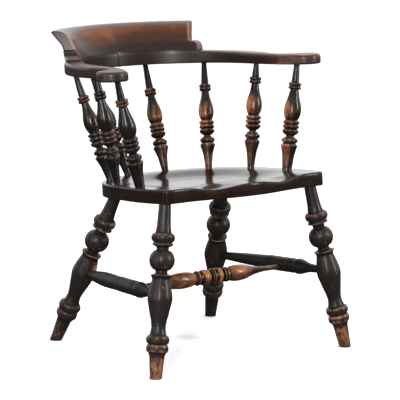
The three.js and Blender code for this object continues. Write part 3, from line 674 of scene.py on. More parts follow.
# The seat is polished by use: a dark mirror with red in it
seat_finish = stained_wood(
    "elm_dark_polish_seat", ("#140d0b", "#281812", "#64392a", "#94664a"),
    wear=-0.8, edges=0.35, uneven=0.7, grooves=-0.6, chips=0.0, gloss=0.24, shine=0.06, coat=0.55)
# The arms shine from hands, black brown on their sides and orange brown on top
arm_finish = stained_wood(
    "beech_dark_polish_arms", ("#1b1311", "#351f17", "#70442c", "#9a6840"),
    wear=-0.75, edges=0.35, uneven=0.7, grooves=-0.6, chips=0.0, gloss=0.4, shine=0.25, coat=0.3)
# The crest is the warmest piece: a glossy red brown with a soft orange glow where backs rub it
crest_finish = stained_wood(
    "beech_red_brown_polish_crest", ("#211410", "#402518", "#673b22", "#8a5530"),
    wear=-0.4, edges=0.3, uneven=0.3, grooves=-0.8, chips=0.0, gloss=0.34, shine=0.14, coat=0.4)
finishes = [leg_finish, spindle_finish, side_finish, cross_finish, seat_finish, arm_finish, crest_finish]
print("finishes:", [finish.name for finish in finishes])

# %% [markdown]
# Rubbing has soft borders, so two small functions draw it: a hill round one place, and a smooth rise.

# %% Soft borders
def hill(value, middle, reach):
    """1 at the middle, and less and less away from it."""
    return np.exp(-((value - middle) / reach) ** 2)


def smoothstep(value, low, high):
    """0 up to the low value, 1 from the high value on, and a smooth rise between them."""
    share = np.clip((value - low) / (high - low), 0, 1)
    return share * share * (3 - 2 * share)


print("a hill 0, 1 and 2 reaches away:", hill(np.arange(3), 0, 1).round(2))

# %% [markdown]
# ## The legs
# All four legs have one pattern, from the top down: a long neck in the seat, a ring and a sharp flange, a
# ball between two hollows, a collar, a long vase, two rings and a plain foot. Each step of the pattern is
# a length and the diameter that it ends at, in millimetres. A ring also has the diameter of its root, and
# how full its curve is.

# %% The pattern of a leg
leg_socket_depth, leg_tenon, leg_hollow, leg_ring_root = 24, 28, 29, 42
leg_ring_tops = (70.5, 313.5, 334.5)


def leg_turning(lower):
    """The pattern of a leg. On one leg the turner set it out a little lower."""
    turning = Turning(-leg_socket_depth).at(leg_tenon).taper(leg_socket_depth, leg_tenon)
    # Neck, ring and flange
    turning.taper(5, 29.5).swell([(40 + lower, 33), (22, 39.5)])
    turning.bead(20.5, 56.8, leg_ring_root, 0.85).at(44).taper(7.5, 51.5).taper(4.5, 30)
    # Ball between its hollows
    turning.taper(7.5, leg_hollow).bead(48, 61, leg_hollow, 1.2).taper(7, leg_hollow)
    # Collar and vase
    turning.taper(4, 51.8).taper(9, leg_ring_root)
    turning.swell([(42, 59.3), (27, 52), (42, 34.8), (23, 41)])
    # Two rings and the foot
    turning.bead(21, 55.8, leg_ring_root, 0.95).bead(20, 53.4, 43, 0.85)
    return turning.taper(9, 36.5).taper(51 - lower, 29.3).taper(25, 28.8)


print("a leg's outline:", len(leg_turning(0).outline()), "points")

# %% [markdown]
# The legs are turned too long and cut level at the floor. Points below it slide up along the leg's axis,
# which makes a flat end, and the cut edge is rounded as years on a hard floor round it.

# %% Cut a leg at the floor
foot_arris = 1.5
print("rounding of a foot's edge:", foot_arris, "mm")


def merge(mesh, distance=0.02 * MM):
    """Joins the points that have come to lie on each other."""
    work = bmesh.new()
    work.from_mesh(mesh)
    bmesh.ops.remove_doubles(work, verts=work.verts, dist=distance)
    bmesh.ops.dissolve_degenerate(work, edges=work.edges, dist=distance)
    work.to_mesh(mesh)
    work.free()


def cut_at_floor(piece, start, towards):
    """Slides the points below the floor up along the leg's axis, and rounds the cut edge a little."""
    mesh = piece.data
    points = points_of(mesh)
    axis = in_model(towards) - in_model(start)
    axis /= np.linalg.norm(axis)
    below = points[:, 2] < 0
    points[below] -= np.outer(points[below, 2] / axis[2], axis)
    low = np.clip(1 - points[:, 2] / (foot_arris * MM), 0, 1)
    middle = in_model(start) + np.outer((points[:, 2] - in_model(start)[2]) / axis[2], axis)
    outwards = points - middle
    reach = np.linalg.norm(outwards, axis=1, keepdims=True)
    drawn_in = foot_arris * MM * (1 - np.sqrt(1 - low ** 2))[:, None]
    points -= outwards / np.maximum(reach, TINY) * np.minimum(drawn_in, reach)
    mesh.vertices.foreach_set("co", points.astype(np.float32).ravel())
    merge(mesh)


# %% [markdown]
# Shoes kick the feet, most of all the front ones, and dust cloths thin the upper shoulder of each ring.
# The inside of the back left leg was knocked too, at its top ring and at its vase.

# %% Legs
both_sides = (("left", -1), ("right", 1))
leg_ends = {"front": {"foot": (291, -246.7), "socket": (220.7, -189.8), "kicked": 1.1, "dusted": 0.75},
            "back": {"foot": (243.7, 246.7), "socket": (164.3, 93.2), "kicked": 0.7, "dusted": 0.3}}
kicked_up_to, black_above, shoulder_reach = 30, 95, 2.6
set_out_lower = {("front", "left"): 3}
# Knocks: how strong, how high up and how far around, in mm
back_left_knocks = ((1.55, 192, 22), (0.9, 310, 20))


def leg_rub(leg, end, word, lower):
    heights = points_of(leg.data)[:, 2] / MM
    rubbed = leg_ends[end]["kicked"] * (1 - smoothstep(heights, kicked_up_to, black_above))
    down = points_of(leg.data, "grain")[:, 2] / MM
    for ring_top in leg_ring_tops:
        rubbed += leg_ends[end]["dusted"] * hill(down, ring_top + lower, shoulder_reach)
    if (end, word) == ("back", "left"):
        inner = smoothstep(normals_of(leg.data)[:, 0], -0.3, 0.3)
        rubbed += inner * sum(strength * hill(heights, *place) for strength, *place in back_left_knocks)
    return rubbed


legs = {}
for word, side in both_sides:
    for end, leg_end in leg_ends.items():
        start = on_seat(side * leg_end["socket"][0], leg_end["socket"][1], 0)
        towards = np.array([side * leg_end["foot"][0], leg_end["foot"][1], 0.0])
        lower = set_out_lower.get((end, word), 0)
        leg = turn(f"turned_leg_{end}_{word}", leg_turning(lower), start, towards, leg_finish, sides=64)
        cut_at_floor(leg, start, towards)
        store(leg.data, "rub", leg_rub(leg, end, word, lower))
        fit(leg, f"leg_{end}_{word}")
        legs[end, side] = (start, (towards - start) / np.linalg.norm(towards - start))


# %% [markdown]
# ## The stretchers
# A stretcher runs from each back leg to the front leg, with a plain barrel between two grooved rings. The
# third crosses from barrel to barrel, and feet have rubbed nearly all the stain off it.

# %% Side stretchers
barrel_length, barrel_forward, stretcher_end_clear, tenon_short = 62, 40, 31, 6
groove, groove_width, collar_ring, barrel = 27, 2.5, 9, 37
stretcher_end, back_swelling = 19, 35
front_shoulder, front_swelling, front_swelling_at, front_neck = 34, 39, 18, 23
back_bow = {"left": 9, "right": 1.5}
side_rub = {"left": 0.3, "right": 0.0}
back_leg_down, front_leg_down = 223.5, 218


def down_leg(end, side, distance):
    """A point on a leg's axis, so far down from the seat."""
    start, axis = legs[end, side]
    return start + distance * axis


def add_collar(turning):
    """A grooved ring at the end of the barrel."""
    turning.at(groove).taper(groove_width, groove).at(barrel)
    turning.taper(collar_ring, barrel).at(groove).taper(groove_width, groove)


def side_turning(span, bow):
    """The outline from the back leg to the front one, and how far along it the barrel's middle is."""
    barrel_from = (span - barrel_length) / 2 + barrel_forward
    collar = collar_ring + 2 * groove_width
    back_run = barrel_from - collar - stretcher_end_clear
    front_run = span - barrel_from - barrel_length - collar - front_swelling_at - stretcher_end_clear
    turning = Turning(tenon_short).at(stretcher_end).taper(stretcher_end_clear - tenon_short, stretcher_end)
    half_way = (stretcher_end + back_swelling) / 2 + bow
    turning.swell([(back_run / 2, half_way), (back_run / 2, back_swelling)])
    add_collar(turning)
    turning.at(barrel).taper(barrel_length, barrel)
    add_collar(turning)
    turning.at(front_shoulder).swell([
        (front_swelling_at, front_swelling), (front_run / 2, front_neck), (front_run / 2, stretcher_end),
    ])
    turning.taper(stretcher_end_clear - tenon_short, stretcher_end)
    return turning, barrel_from + barrel_length / 2


barrel_middles = {}
for word, side in both_sides:
    start, end = down_leg("back", side, back_leg_down), down_leg("front", side, front_leg_down)
    span = np.linalg.norm(end - start)
    turning, middle = side_turning(span, back_bow[word])
    stretcher = turn(f"turned_side_stretcher_{word}", turning, start, end, side_finish, sides=48)
    store(stretcher.data, "rub", np.full(len(stretcher.data.vertices), side_rub[word]))
    fit(stretcher, f"side_stretcher_{word}")
    barrel_middles[side] = start + (end - start) / span * middle


# %% [markdown]
# The cross stretcher has a vase at each end and two balls between them, with thin discs that stand between
# deep grooves, dark with dirt and painted shade. Shoes come from the right: what faces left kept its stain,
# and so did the thin left end. The top is painted lighter and the underside darker, for the light from
# above.

# %% Cross stretcher
half_middle, off_centre, left_longer, cross_drop = 51.3, 10.5, 1.2, 5.5
cross_groove, cross_neck, cross_tenon, tenon_long = 17, 12.5, 14, 16
vase_shoulder, disc_fullness = 28, 0.6
cross_vase = [(6, 34), (16, 40), (17, 40.3), (15, 36.5), (14, 29), (14, 21.5), (22, 15), (16, cross_neck)]
# Each has a length, a diameter, a root, its fullness and the width of the groove after it
cross_middle = [
    (3.5, 34, 22, 1, 1.5),
    (5, 38, 26, disc_fullness, 1.5),
    (35, 40, cross_groove, 1, 2),
    (3.5, 36, 22, 1, None),
    (5.5, 40, 26, disc_fullness, 1.5),
    (24, 39, cross_groove, 1, 2),
    (6.6, 36, 20, 1, 2),
    (5.5, 38, 26, disc_fullness, 1.5),
]
first_groove = 1.5


def cross_turning(span):
    vase_length = sum(length for length, _ in cross_vase)
    run = span / 2 - half_middle - vase_length - tenon_long - tenon_short
    left_run = run + off_centre - (left_longer - 1) * vase_length
    turning = Turning(tenon_short).at(cross_tenon).taper(tenon_long, cross_tenon)
    turning.taper(left_run, cross_neck)
    # The left vase is the right one walked backwards, and longer
    backwards = zip(cross_vase[::-1], [width for _, width in cross_vase[-2::-1]] + [vase_shoulder])
    turning.swell([(left_longer * length, width) for (length, _), width in backwards])
    turning.at(cross_groove).taper(first_groove, cross_groove)
    for length, diameter, root, fullness, gap in cross_middle:
        turning.bead(length, diameter, root, fullness)
        if gap:
            turning.at(cross_groove).taper(gap, cross_groove)
    turning.at(vase_shoulder).swell(cross_vase)
    return turning.taper(run - off_centre, cross_neck).taper(tenon_long, cross_tenon)


def cross_rub_and_shade(mesh):
    along = points_of(mesh)[:, 0] / MM
    to_the_right, _, upwards = normals_of(mesh).T
    ends = 1.1 * smoothstep(-along, 120, 200) + 0.3 * smoothstep(along, 100, 200)
    # The upward term is painted light and shade: lighter on top, darker underneath
    return 0.8 + 0.4 * upwards - 1.7 * smoothstep(-to_the_right, 0.2, 0.75) - ends


start, end = [barrel_middles[side] - (0, 0, cross_drop) for _, side in both_sides]
cross_outline = cross_turning(np.linalg.norm(end - start))
cross = turn("turned_cross_stretcher", cross_outline, start, end, cross_finish, sides=48)
store(cross.data, "rub", cross_rub_and_shade(cross.data))
fit(cross, "cross_stretcher")

# %% [markdown]
# ## The arms' curve
# The spindles lean from the seat out to the line that the arm bow follows: half an ellipse round the back.

# %% The bow line
bow_half_width, bow_back_depth, bow_widest_y = 245, 280, 54
paddle_x, paddle_y, paddle_radius = 294, -79, 38.5
bow_thickness_front, bow_thickness_back = 25.5, 33.5


def bow_point(angle, outward=0.0):
    """A point beside the bow line. The angle is 0 at the back and a quarter turn at the side."""
    angle = np.asarray(angle, float)
    normal = np.stack([np.sin(angle) / bow_half_width, np.cos(angle) / bow_back_depth], -1)
    normal /= np.linalg.norm(normal, axis=-1, keepdims=True)
    line = np.stack([bow_half_width * np.sin(angle), bow_widest_y + bow_back_depth * np.cos(angle)], -1)
    return line + normal * np.asarray(outward, float)[..., None]


print("middle of the back, in the drawing's mm:", bow_point(0))

# %% [markdown]
# The spindles stand in a row a little inside the rounded back of the seat, which is slightly fuller than
# half an ellipse.

# %% The back of the seat
seat_thickness, seat_half_width, seat_back_depth, seat_rounded_from = 34, 240, 232, -20
seat_fullness, seat_front_corner_y = 1.04, -215


def seat_back_point(angle, inset=0.0):
    """A point of the plank's rounded back, or one set in from it. The angle is 0 at the right end."""
    power = 1 / seat_fullness
    side, across, back = math.copysign(1, math.cos(angle)), abs(math.cos(angle)), max(math.sin(angle), 0)
    normal = np.array([
        side * across ** (2 - power) / seat_half_width,
        back ** (2 - power) / seat_back_depth,
    ])
    point = np.array([
        side * seat_half_width * across ** power,
        seat_rounded_from + seat_back_depth * back ** power,
    ])
    return point - inset * normal / np.linalg.norm(normal)


print("middle of the seat's back:", seat_back_point(math.pi / 2).round(1))

# %% [markdown]
# The side spindles' length is known: a cup, rings and a vase, and a thin end. Their lean is known too, and
# together they give the height of the arms.

# %% The height of the arms
side_cup_height, side_rings_and_vase, side_thin_end = 67, 161.5, 37.2
side_length = side_cup_height + side_rings_and_vase + side_thin_end
side_foot_plan = seat_back_point(math.radians(12.1), inset=30)
side_foot = on_seat(*side_foot_plan, seat_thickness)
side_head = bow_point(math.radians(89.3))
run = math.hypot(side_head[0] - side_foot[0], side_head[1] * math.cos(arm_tilt) - side_foot[1])
arm_height = side_foot[2] + math.sqrt(side_length ** 2 - run ** 2) + side_head[1] * math.sin(arm_tilt)
print("underside of the arms at y = 0, in mm:", round(arm_height, 1))


def on_arms(x, y, z):
    return tilted([x, y, z], arm_tilt, arm_height)


# %% [markdown]
# ## The spindles
# Eight spindles, and one pattern again: a cup on a taper, a disc, a bell with rings on it, a vase and two
# beads under a plain thin end. The two posts under the arm ends are the same but thicker, and hand turning
# made the side pair a little stouter than the others.

# %% The pattern of a spindle
spindle_size = {
    "foot": 17.5, "cup": 37.8, "cup_root": 26, "disc": 37.5, "neck": 17, "bell": 38.5, "bell_root": 24,
    "ring": 38.1, "ring_root": 26, "vase_foot": 26, "vase": 38.4, "vase_end": 13.5, "vase_neck": 18,
    "bead": 30.3, "arm_start": 19.2, "arm_end": 13,
}
side_size = {
    **spindle_size, "cup": 38.6, "cup_root": 28, "disc": 38.4, "bell": 39.4, "ring": 39.2, "vase": 39.6,
    "vase_end": 16,
}
post_size = {
    "foot": 24.5, "cup": 41.2, "cup_root": 29, "disc": 41, "neck": 20, "bell": 41.6, "bell_root": 27,
    "ring": 41.2, "ring_root": 29, "vase_foot": 29, "vase": 42.7, "vase_end": 13.5, "vase_neck": 20.5,
    "bead": 32.3, "arm_start": 19.5, "arm_end": 14.5,
}
spindle_seat_depth, spindle_arm_depth, turned_middle, plain_end = 20, 18, 145.5, 6
# The taper under the cup: shares of its length, and of the way from the foot's thickness to the cup's
cup_curve = [(0.48, 0.29), (0.2, 0.49), (0.32, 1)]
# The vase: lengths, and how much thinner than its belly each one ends
vase_curve = [(6, 7.5), (8, 2), (9, 0), (9, 0.7), (10, 4.5), (11, 11), (11, 16.5)]
ring_height, bead_height, bead_root, bead_fullness = 10.5, 8.5, 21, 0.7


def spindle_turning(size, cup_height, longer_disc, length):
    stub = length - cup_height - longer_disc - turned_middle - size["vase_end"]
    taper, flare = cup_height - plain_end, size["cup"] - size["foot"]
    cup_root, bell_root, bell_flare = size["cup_root"], size["bell_root"], size["bell"] - size["bell_root"]
    turning = Turning(-spindle_seat_depth).at(size["foot"])
    turning.taper(spindle_seat_depth + plain_end, size["foot"])
    turning.swell([(taper * along, size["foot"] + flare * up) for along, up in cup_curve])
    # Cup, disc and neck
    turning.taper(2, size["cup"]).taper(6 + longer_disc / 2, cup_root)
    turning.bead(11, size["disc"], cup_root, 0.7).taper(3 + longer_disc / 2, cup_root)
    turning.at(size["neck"]).taper(4, size["neck"]).taper(2, bell_root)
    # Bell and rings
    turning.swell([(3.5, bell_root + 0.6 * bell_flare), (6, size["bell"]), (5.5, size["ring_root"] + 3)])
    for _ in range(2):
        turning.bead(ring_height, size["ring"], size["ring_root"])
    # Vase, beads and the thin end in the arm
    vase = [(step, size["vase"] - thinner) for step, thinner in vase_curve]
    turning.at(size["vase_foot"]).swell([*vase, (size["vase_end"], size["vase_neck"])])
    for _ in range(2):
        turning.bead(bead_height, size["bead"], bead_root, bead_fullness)
    turning.at(size["arm_start"]).taper(stub - plain_end, size["arm_end"])
    return turning.taper(plain_end + spindle_arm_depth, size["arm_end"])


example = spindle_turning(side_size, side_cup_height, 0, side_length)
print("a side spindle's outline:", len(example.outline()), "points")

# %% [markdown]
# Clothes rub the side that faces the sitter, most on the belly of the vase and the cup. The outside, the
# bell and the thin end stay black. The left row was rubbed less than the right one.

# %% Spindles
# Each spindle's sizes, cup height, longer disc, place on the seat and on the arms, and share of the rubbing
stations = {
    "arm_post": (post_size, 60.5, 0, (seat_half_width - 15.5, seat_front_corner_y + 118.3),
                 (paddle_x - 20, paddle_y + 8.6), 0.9),
    "spindle_side": (side_size, side_cup_height, 3.5, side_foot_plan, side_head, 0.78),
    "spindle_corner": (spindle_size, 60, 0, seat_back_point(math.radians(46), inset=24.1),
                       bow_point(math.radians(54.4)), 0.75),
    "spindle_back": (spindle_size, 61.5, 0, seat_back_point(math.radians(76), inset=16.8),
                     bow_point(math.radians(20.4)), 0.65),
}
sitter = np.array([0, 60, 0])
side_share = {"left": 0.6, "right": 1}


def rubbed_by_sitter(mesh, foot, cup_height, share):
    """The rubbing of a spindle. The bell, the belly and the thin end lie so many mm above the cup."""
    towards = (sitter - foot) * (1, 1, 0)
    facing = normals_of(mesh) @ (towards / np.linalg.norm(towards))
    above_cup = points_of(mesh, "grain")[:, 2] / MM - cup_height
    bell, belly, cup = hill(above_cup, 33, 24), hill(above_cup, 90, 24), smoothstep(-above_cup, -4, 10)
    reached = 1 - 0.9 * smoothstep(above_cup, 105, 140) - 0.45 * bell
    rubbed = np.where(facing > -0.2, 0.5 + 0.9 * facing, 0.32 + 1.5 * (facing + 0.2))
    return reached * share * (rubbed + 0.7 * belly + 0.55 * cup)


for word, side in both_sides:
    for node, (size, cup_height, longer_disc, foot, head, share) in stations.items():
        start = on_seat(side * foot[0], foot[1], seat_thickness)
        end = on_arms(side * head[0], head[1], 0)
        turning = spindle_turning(size, cup_height, longer_disc, np.linalg.norm(end - start))
        spindle = turn(f"turned_{node}_{word}", turning, start, end, spindle_finish, sides=44)
        share = share * side_share[word]
        store(spindle.data, "rub", rubbed_by_sitter(spindle.data, start, cup_height, share))
        fit(spindle, f"{node}_{word}")


# %% [markdown]
# ## Sawn boards
# The seat, the arms and the crest are sawn from boards, and one builder makes them all. It starts from a
# closed outline, cut into even steps, which can be drawn in for a rounded edge.

# %% A board's outline
def inset(outline, distance, ends_meet=True):
    """Moves each point of an outline inwards, square to it. A joint closes it where its ends don't meet."""
    along = np.roll(outline, -1, 0) - np.roll(outline, 1, 0)
    if not ends_meet:
        along[0], along[-1] = outline[1] - outline[0], outline[-1] - outline[-2]
    along /= np.linalg.norm(along, axis=1, keepdims=True)
    return outline + np.stack([-along[:, 1], along[:, 0]], -1) * np.reshape(distance, (-1, 1))


def resampled(outline, step, ends_meet=True):
    """An outline in even steps."""
    path = np.vstack([outline, outline[:1]]) if ends_meet else outline
    along = np.concatenate([[0], np.cumsum(np.hypot(*np.diff(path, axis=0).T))])
    even = np.linspace(0, along[-1], round(along[-1] / step), endpoint=not ends_meet)
    return np.stack([np.interp(even, along, path[:, k]) for k in (0, 1)], -1)


turns = np.linspace(0, 2 * math.pi, 200, endpoint=False)
disc = resampled(50 * np.stack([np.cos(turns), np.sin(turns)], -1), step=5)
print("a 100 mm disc drawn in by 10 mm:", np.ptp(inset(disc, 10), axis=0).round(), "mm")

# %% [markdown]
# The two faces of a board are filled with evenly spaced triangles. One huge polygon would be flat, and
# couldn't take the hollows of a seat.

# %% Fill a face
def inside(points, outline):
    """Which points lie inside a closed outline: a ray from each crosses it an odd number of times."""
    x, y = points.T[:, :, None]
    ax, ay = outline.T
    bx, by = np.roll(outline, -1, 0).T
    crosses = ((ay > y) != (by > y)) & (x < (bx - ax) * (y - ay) / (by - ay + TINY) + ax)
    return crosses.sum(1) % 2 == 1


def filled(outline, spacing, edge_clear=0.6, only_inside=1, tolerance=1e-7):
    """An outline's points, then points in even rows inside it, and the triangles between them all."""
    low, high = outline.min(0), outline.max(0)
    grid = []
    for i, y in enumerate(np.arange(low[1], high[1], spacing * math.sqrt(3) / 2)):
        x = np.arange(low[0] + spacing / 2 * (i % 2), high[0], spacing)
        grid.append(np.stack([x, np.full_like(x, y)], -1))
    grid = np.vstack(grid)
    grid = grid[inside(grid, outline)]
    nearest = np.full(len(grid), np.inf)
    for point in outline:
        nearest = np.minimum(nearest, np.hypot(*(grid - point).T))
    points = np.vstack([outline, grid[nearest > edge_clear * spacing]])
    edge = [list(range(len(outline)))]
    result = delaunay_2d_cdt([Vector(p) for p in points], [], edge, only_inside, tolerance)
    which = [origins[0] for origins in result[3]]
    return points, [[which[i] for i in face] for face in result[2]]


print("the disc filled every 10 mm:", len(filled(disc, 10)[1]), "triangles")

# %% [markdown]
# The outline is stacked from the underside to the top, drawn in a little where the edges are rounded. What
# bends, hollows or tilts the board is left to a function of the place on it, so the same builder serves a
# saddled seat and a crest that is bent round the back.

# %% The board builder
board_wear = {"Blur steps": 12, "Full wear": 2.5 * MM}


def edge_rows(bottom_round, top_round, round_steps=6, side_steps=6):
    """Rows up a board's edge: how far in from the outline, the share of the thickness, and mm on that."""
    rows = []
    for i in range(round_steps + 1):
        angle = math.pi / 2 * i / round_steps
        rows.append((bottom_round * (1 - math.sin(angle)), 0, bottom_round * (1 - math.cos(angle))))
    for i in range(1, side_steps):
        share = i / side_steps
        rows.append((0, share, bottom_round + (-top_round - bottom_round) * share))
    for i in range(round_steps + 1):
        angle = math.pi / 2 * (1 - i / round_steps)
        rows.append((top_round * (1 - math.sin(angle)), 1, -top_round * (1 - math.cos(angle))))
    return rows


def saw_board(name, outline, rows, surface, grain, rub, spacing, material, rounding=1.0, ends_meet=True):
    """A closed board. The surface and the grain give each point's place in drawing mm, and the third its
    rubbing.

    They are functions of the place on the outline, the share of the thickness and the mm added to it.
    """
    count = len(outline)
    rings = [inset(outline, row[0] * rounding, ends_meet) for row in rows]
    plan = [np.column_stack([ring, np.full(count, share), np.full(count, extra)])
            for ring, (_, share, extra) in zip(rings, rows)]
    faces = []
    for ring in range(len(rings) - 1):
        for i in range(count):
            a, b = ring * count + i, ring * count + (i + 1) % count
            faces.append((a, b, b + count, a + count))
    total = len(rings) * count
    for ring, upwards in ((0, False), (len(rings) - 1, True)):
        points, triangles = filled(rings[ring], spacing)
        new = points[count:]
        _, share, extra = rows[ring]
        plan.append(np.column_stack([new, np.full(len(new), share), np.full(len(new), extra)]))
        for triangle in triangles:
            corners = [ring * count + i if i < count else total + i - count for i in triangle]
            faces.append(corners if upwards else corners[::-1])
        total += len(new)
    plan = np.vstack(plan)
    mesh = bpy.data.meshes.new(name)
    mesh.from_pydata(in_model(surface(*plan.T)), [], faces)
    mesh.materials.append(material)
    board = run_tree(name, mesh, wear_tree, board_wear)
    kept = board.data.attributes.new("grain", "FLOAT_VECTOR", "POINT")
    kept.data.foreach_set("vector", (grain(*plan.T) * MM).astype(np.float32).ravel())
    store(board.data, "rub", rub(*plan.T))
    board.data.polygons.foreach_set("use_smooth", np.ones(len(board.data.polygons), bool))
    return board


print("rows up an edge:", len(edge_rows(2, 5)))


# %% [markdown]
# ## The seat
# A thick elm plank, its front edge waved, its back rounded. It is drawn round its own middle, because the
# real one sits a few millimetres off the chair's.

# %% The outline of the seat
seat_off_centre, seat_front_bow, seat_front_bow_half = 9, 31, 190
seat_corner_radius, seat_half_front, seat_side_bow = 24, 246, 8


def seat_outline():
    straight = seat_half_front - seat_corner_radius
    across = np.linspace(-straight, straight, 160)
    bowed = seat_front_bow * (1 + np.cos(math.pi * np.minimum(1, np.abs(across) / seat_front_bow_half))) / 2
    front = np.stack([across, seat_front_corner_y - bowed], -1)
    corner_y = seat_front_corner_y + seat_corner_radius
    angles = np.linspace(-math.pi / 2, 0, 12)
    corner = (straight, corner_y) + seat_corner_radius * np.stack([np.cos(angles), np.sin(angles)], -1)
    share = np.linspace(0, 1, 40)[1:-1]
    narrower = (seat_half_width - seat_half_front) * share
    side = np.stack([
        seat_half_front + narrower + seat_side_bow * np.sin(share * math.pi),
        corner_y + (seat_rounded_from - corner_y) * share,
    ], -1)
    right = np.vstack([corner[1:], side])
    back = np.array([seat_back_point(a) for a in np.linspace(0, math.pi, 200)])
    return resampled(np.vstack([front, right, back, (right * (-1, 1))[::-1]]), step=3.5)


plank = seat_outline()
print("plank in mm:", np.ptp(plank, axis=0).round(1))

# %% [markdown]
# It is saddled: a broad hollow for the sitter, and two thigh hollows that run out over the front edge with
# a low ridge between them.

# %% The saddle
seat_dish, seat_thigh, seat_pommel = 13, 10, 2
thigh_centre, thigh_half_width, thigh_start_y = 100, 92, -60
rim_share, bottom_share = 0.86, 0.45


def seat_rim_share(x, y):
    """How far out a point lies: 0 in the middle, 1 at the edge."""
    angles = np.arctan2(plank[:, 1], plank[:, 0])
    order = np.argsort(angles)
    reach = np.interp(np.arctan2(y, x), angles[order], np.hypot(*plank[order].T), period=2 * math.pi)
    return np.hypot(x, y) / reach


def seat_hollow(x, y):
    """How far the saddled top lies below the flat of the rim."""
    bowl = seat_dish * (1 - smoothstep(seat_rim_share(x, y), bottom_share, rim_share))
    from_thigh = np.minimum(1, np.abs(np.abs(x) - thigh_centre) / thigh_half_width)
    middle = np.where(np.abs(x) < thigh_centre, seat_pommel, 0)
    thigh = middle + (seat_thigh - middle) * (1 + np.cos(math.pi * from_thigh)) / 2
    forward = smoothstep(-y, -thigh_start_y, -seat_front_corner_y)
    return bowl * (1 - forward) + thigh * forward


print("hollow under a thigh at the front edge, in mm:", seat_hollow(thigh_centre, seat_front_corner_y))

# %% [markdown]
# The grain runs from front to back, and legs have rubbed the top of the front edge.

# %% Seat
def seat_surface(x, y, share, extra):
    height = share * (seat_thickness - seat_hollow(x, y)) + extra
    return tilted(np.stack([x + seat_off_centre, y, height], -1), seat_tilt, seat_height)


def seat_grain(x, y, share, extra):
    return np.stack([x, share * seat_thickness + extra, y], -1)


def seat_rub(x, y, share, extra):
    front_edge = smoothstep(-y, 190, 225) * (share > 0.5)
    return 0.5 * front_edge - 0.2


seat = saw_board("sawn_seat", plank, edge_rows(bottom_round=2, top_round=5), seat_surface, seat_grain,
                 seat_rub, spacing=7, material=seat_finish)
fit(seat, "seat")

# %% [markdown]
# ## The arms
# Each arm is half of the bow, sawn to a curve, with a round paddle for the hand at its front. The two
# halves meet at the middle of the back, under the crest.

# %% The outline of an arm
bow_inner, bow_outer, glue_gap = 22, 26, 0.3
outer_neck_point, inner_neck_point = (262, -18), (236, -40)
paddle_from, paddle_to = 200, 400


def half_bow_outline():
    """The right half, anticlockwise from the middle of the inner edge."""
    quarter = np.linspace(0, math.pi / 2, 120)
    inner = bow_point(quarter, np.full(120, -bow_inner))
    outer = bow_point(quarter[::-1], np.full(120, bow_outer))
    angles = np.radians(np.linspace(paddle_from, paddle_to, 90))
    paddle = (paddle_x, paddle_y) + paddle_radius * np.stack([np.cos(angles), np.sin(angles)], -1)
    inner_neck = through([inner[-1], inner_neck_point, paddle[0]])[1:-1]
    outer_neck = through([paddle[-1], outer_neck_point, outer[0]])[1:-1]
    half = np.vstack([inner, inner_neck, paddle, outer_neck, outer])
    half[:, 0] = np.maximum(half[:, 0], glue_gap / 2)
    return half


print("half of the bow in mm:", np.ptp(half_bow_outline(), axis=0).round(1))

# %% [markdown]
# The bow is a little thicker at the back than at the hands. The right forearm has rubbed the top of its
# arm, the left one far less, and the joint in the middle is spared. The inner edge stays sharp under the
# crest.

# %% Arms
crest_end, crest_step_end = math.radians(47.3), math.radians(52.4)
sharp, rounded = 0.1, 1.0


def bow_top(y):
    share = (y - paddle_y) / (bow_widest_y + bow_back_depth - paddle_y)
    return bow_thickness_front + (bow_thickness_back - bow_thickness_front) * share


def arm_surface(x, y, share, extra):
    return tilted(np.stack([x, y, share * bow_top(y) + extra], -1), arm_tilt, arm_height)


def arm_grain(x, y, share, extra):
    return np.stack([x, bow_thickness_back * share + extra, y], -1)


def arm_rub(x, y, share, extra):
    top = np.where(x > 0, 0.95 + 0.3 * smoothstep(-y, 0, 60), 0.65) * (1 - smoothstep(y, 120, 260))
    sides = np.where(x > 0, 0.9 * hill(y, -65, 45), 0) - 0.05
    middle_joint = hill(x, 0, 9)
    return np.where((share == 1) & (extra > -2.5), top, sides) - 2 * middle_joint - 0.1


def under_crest(outline):
    """Which points of an arm's outline lie on its inner edge under the crest."""
    across, back = outline[:, 0] / bow_half_width, (outline[:, 1] - bow_widest_y) / bow_back_depth
    return (np.abs(np.arctan2(across, back)) < crest_step_end) & (np.hypot(across, back) < 1)


for word, side in both_sides:
    half = half_bow_outline() * (side, 1)
    if side < 0:
        half = half[::-1]
    half = resampled(half, step=3, ends_meet=False)
    arm = saw_board(f"sawn_arm_{word}", half, edge_rows(bottom_round=5, top_round=9), arm_surface,
                    arm_grain, arm_rub, spacing=6, material=arm_finish,
                    rounding=np.where(under_crest(half), sharp, rounded), ends_meet=False)
    fit(arm, f"arm_{word}")

# %% [markdown]
# ## The crest
# The crest is one thick piece, hollowed on its inside and rolled back at its top, so that it meets the
# shoulders kindly. Laid flat it is a board with a low step at each end. Its outline runs along the bow and
# up, and its thickness goes from the curve of its back to the curve of its front.

# %% The outline of the crest
crest_height, crest_step_height, crest_step_round = 72.5, 24, 15


def crest_outline():
    """Along the bow and up, in millimetres, anticlockwise as seen from behind."""
    low, high = crest_step_end * bow_back_depth, crest_end * bow_back_depth
    angles = np.linspace(0, math.pi / 2, 10)
    corner = (low - crest_step_round, crest_step_height - crest_step_round) + crest_step_round * np.stack(
        [np.cos(angles), np.sin(angles)], -1)
    right = np.vstack([[(low, 0)], corner, [(high, crest_step_height), (high, crest_height)]])
    return resampled(np.vstack([right, (right * (-1, 1))[::-1]]), step=2.5)


flat_crest = crest_outline()
print("crest laid flat, in mm:", np.ptp(flat_crest, axis=0).round(1))
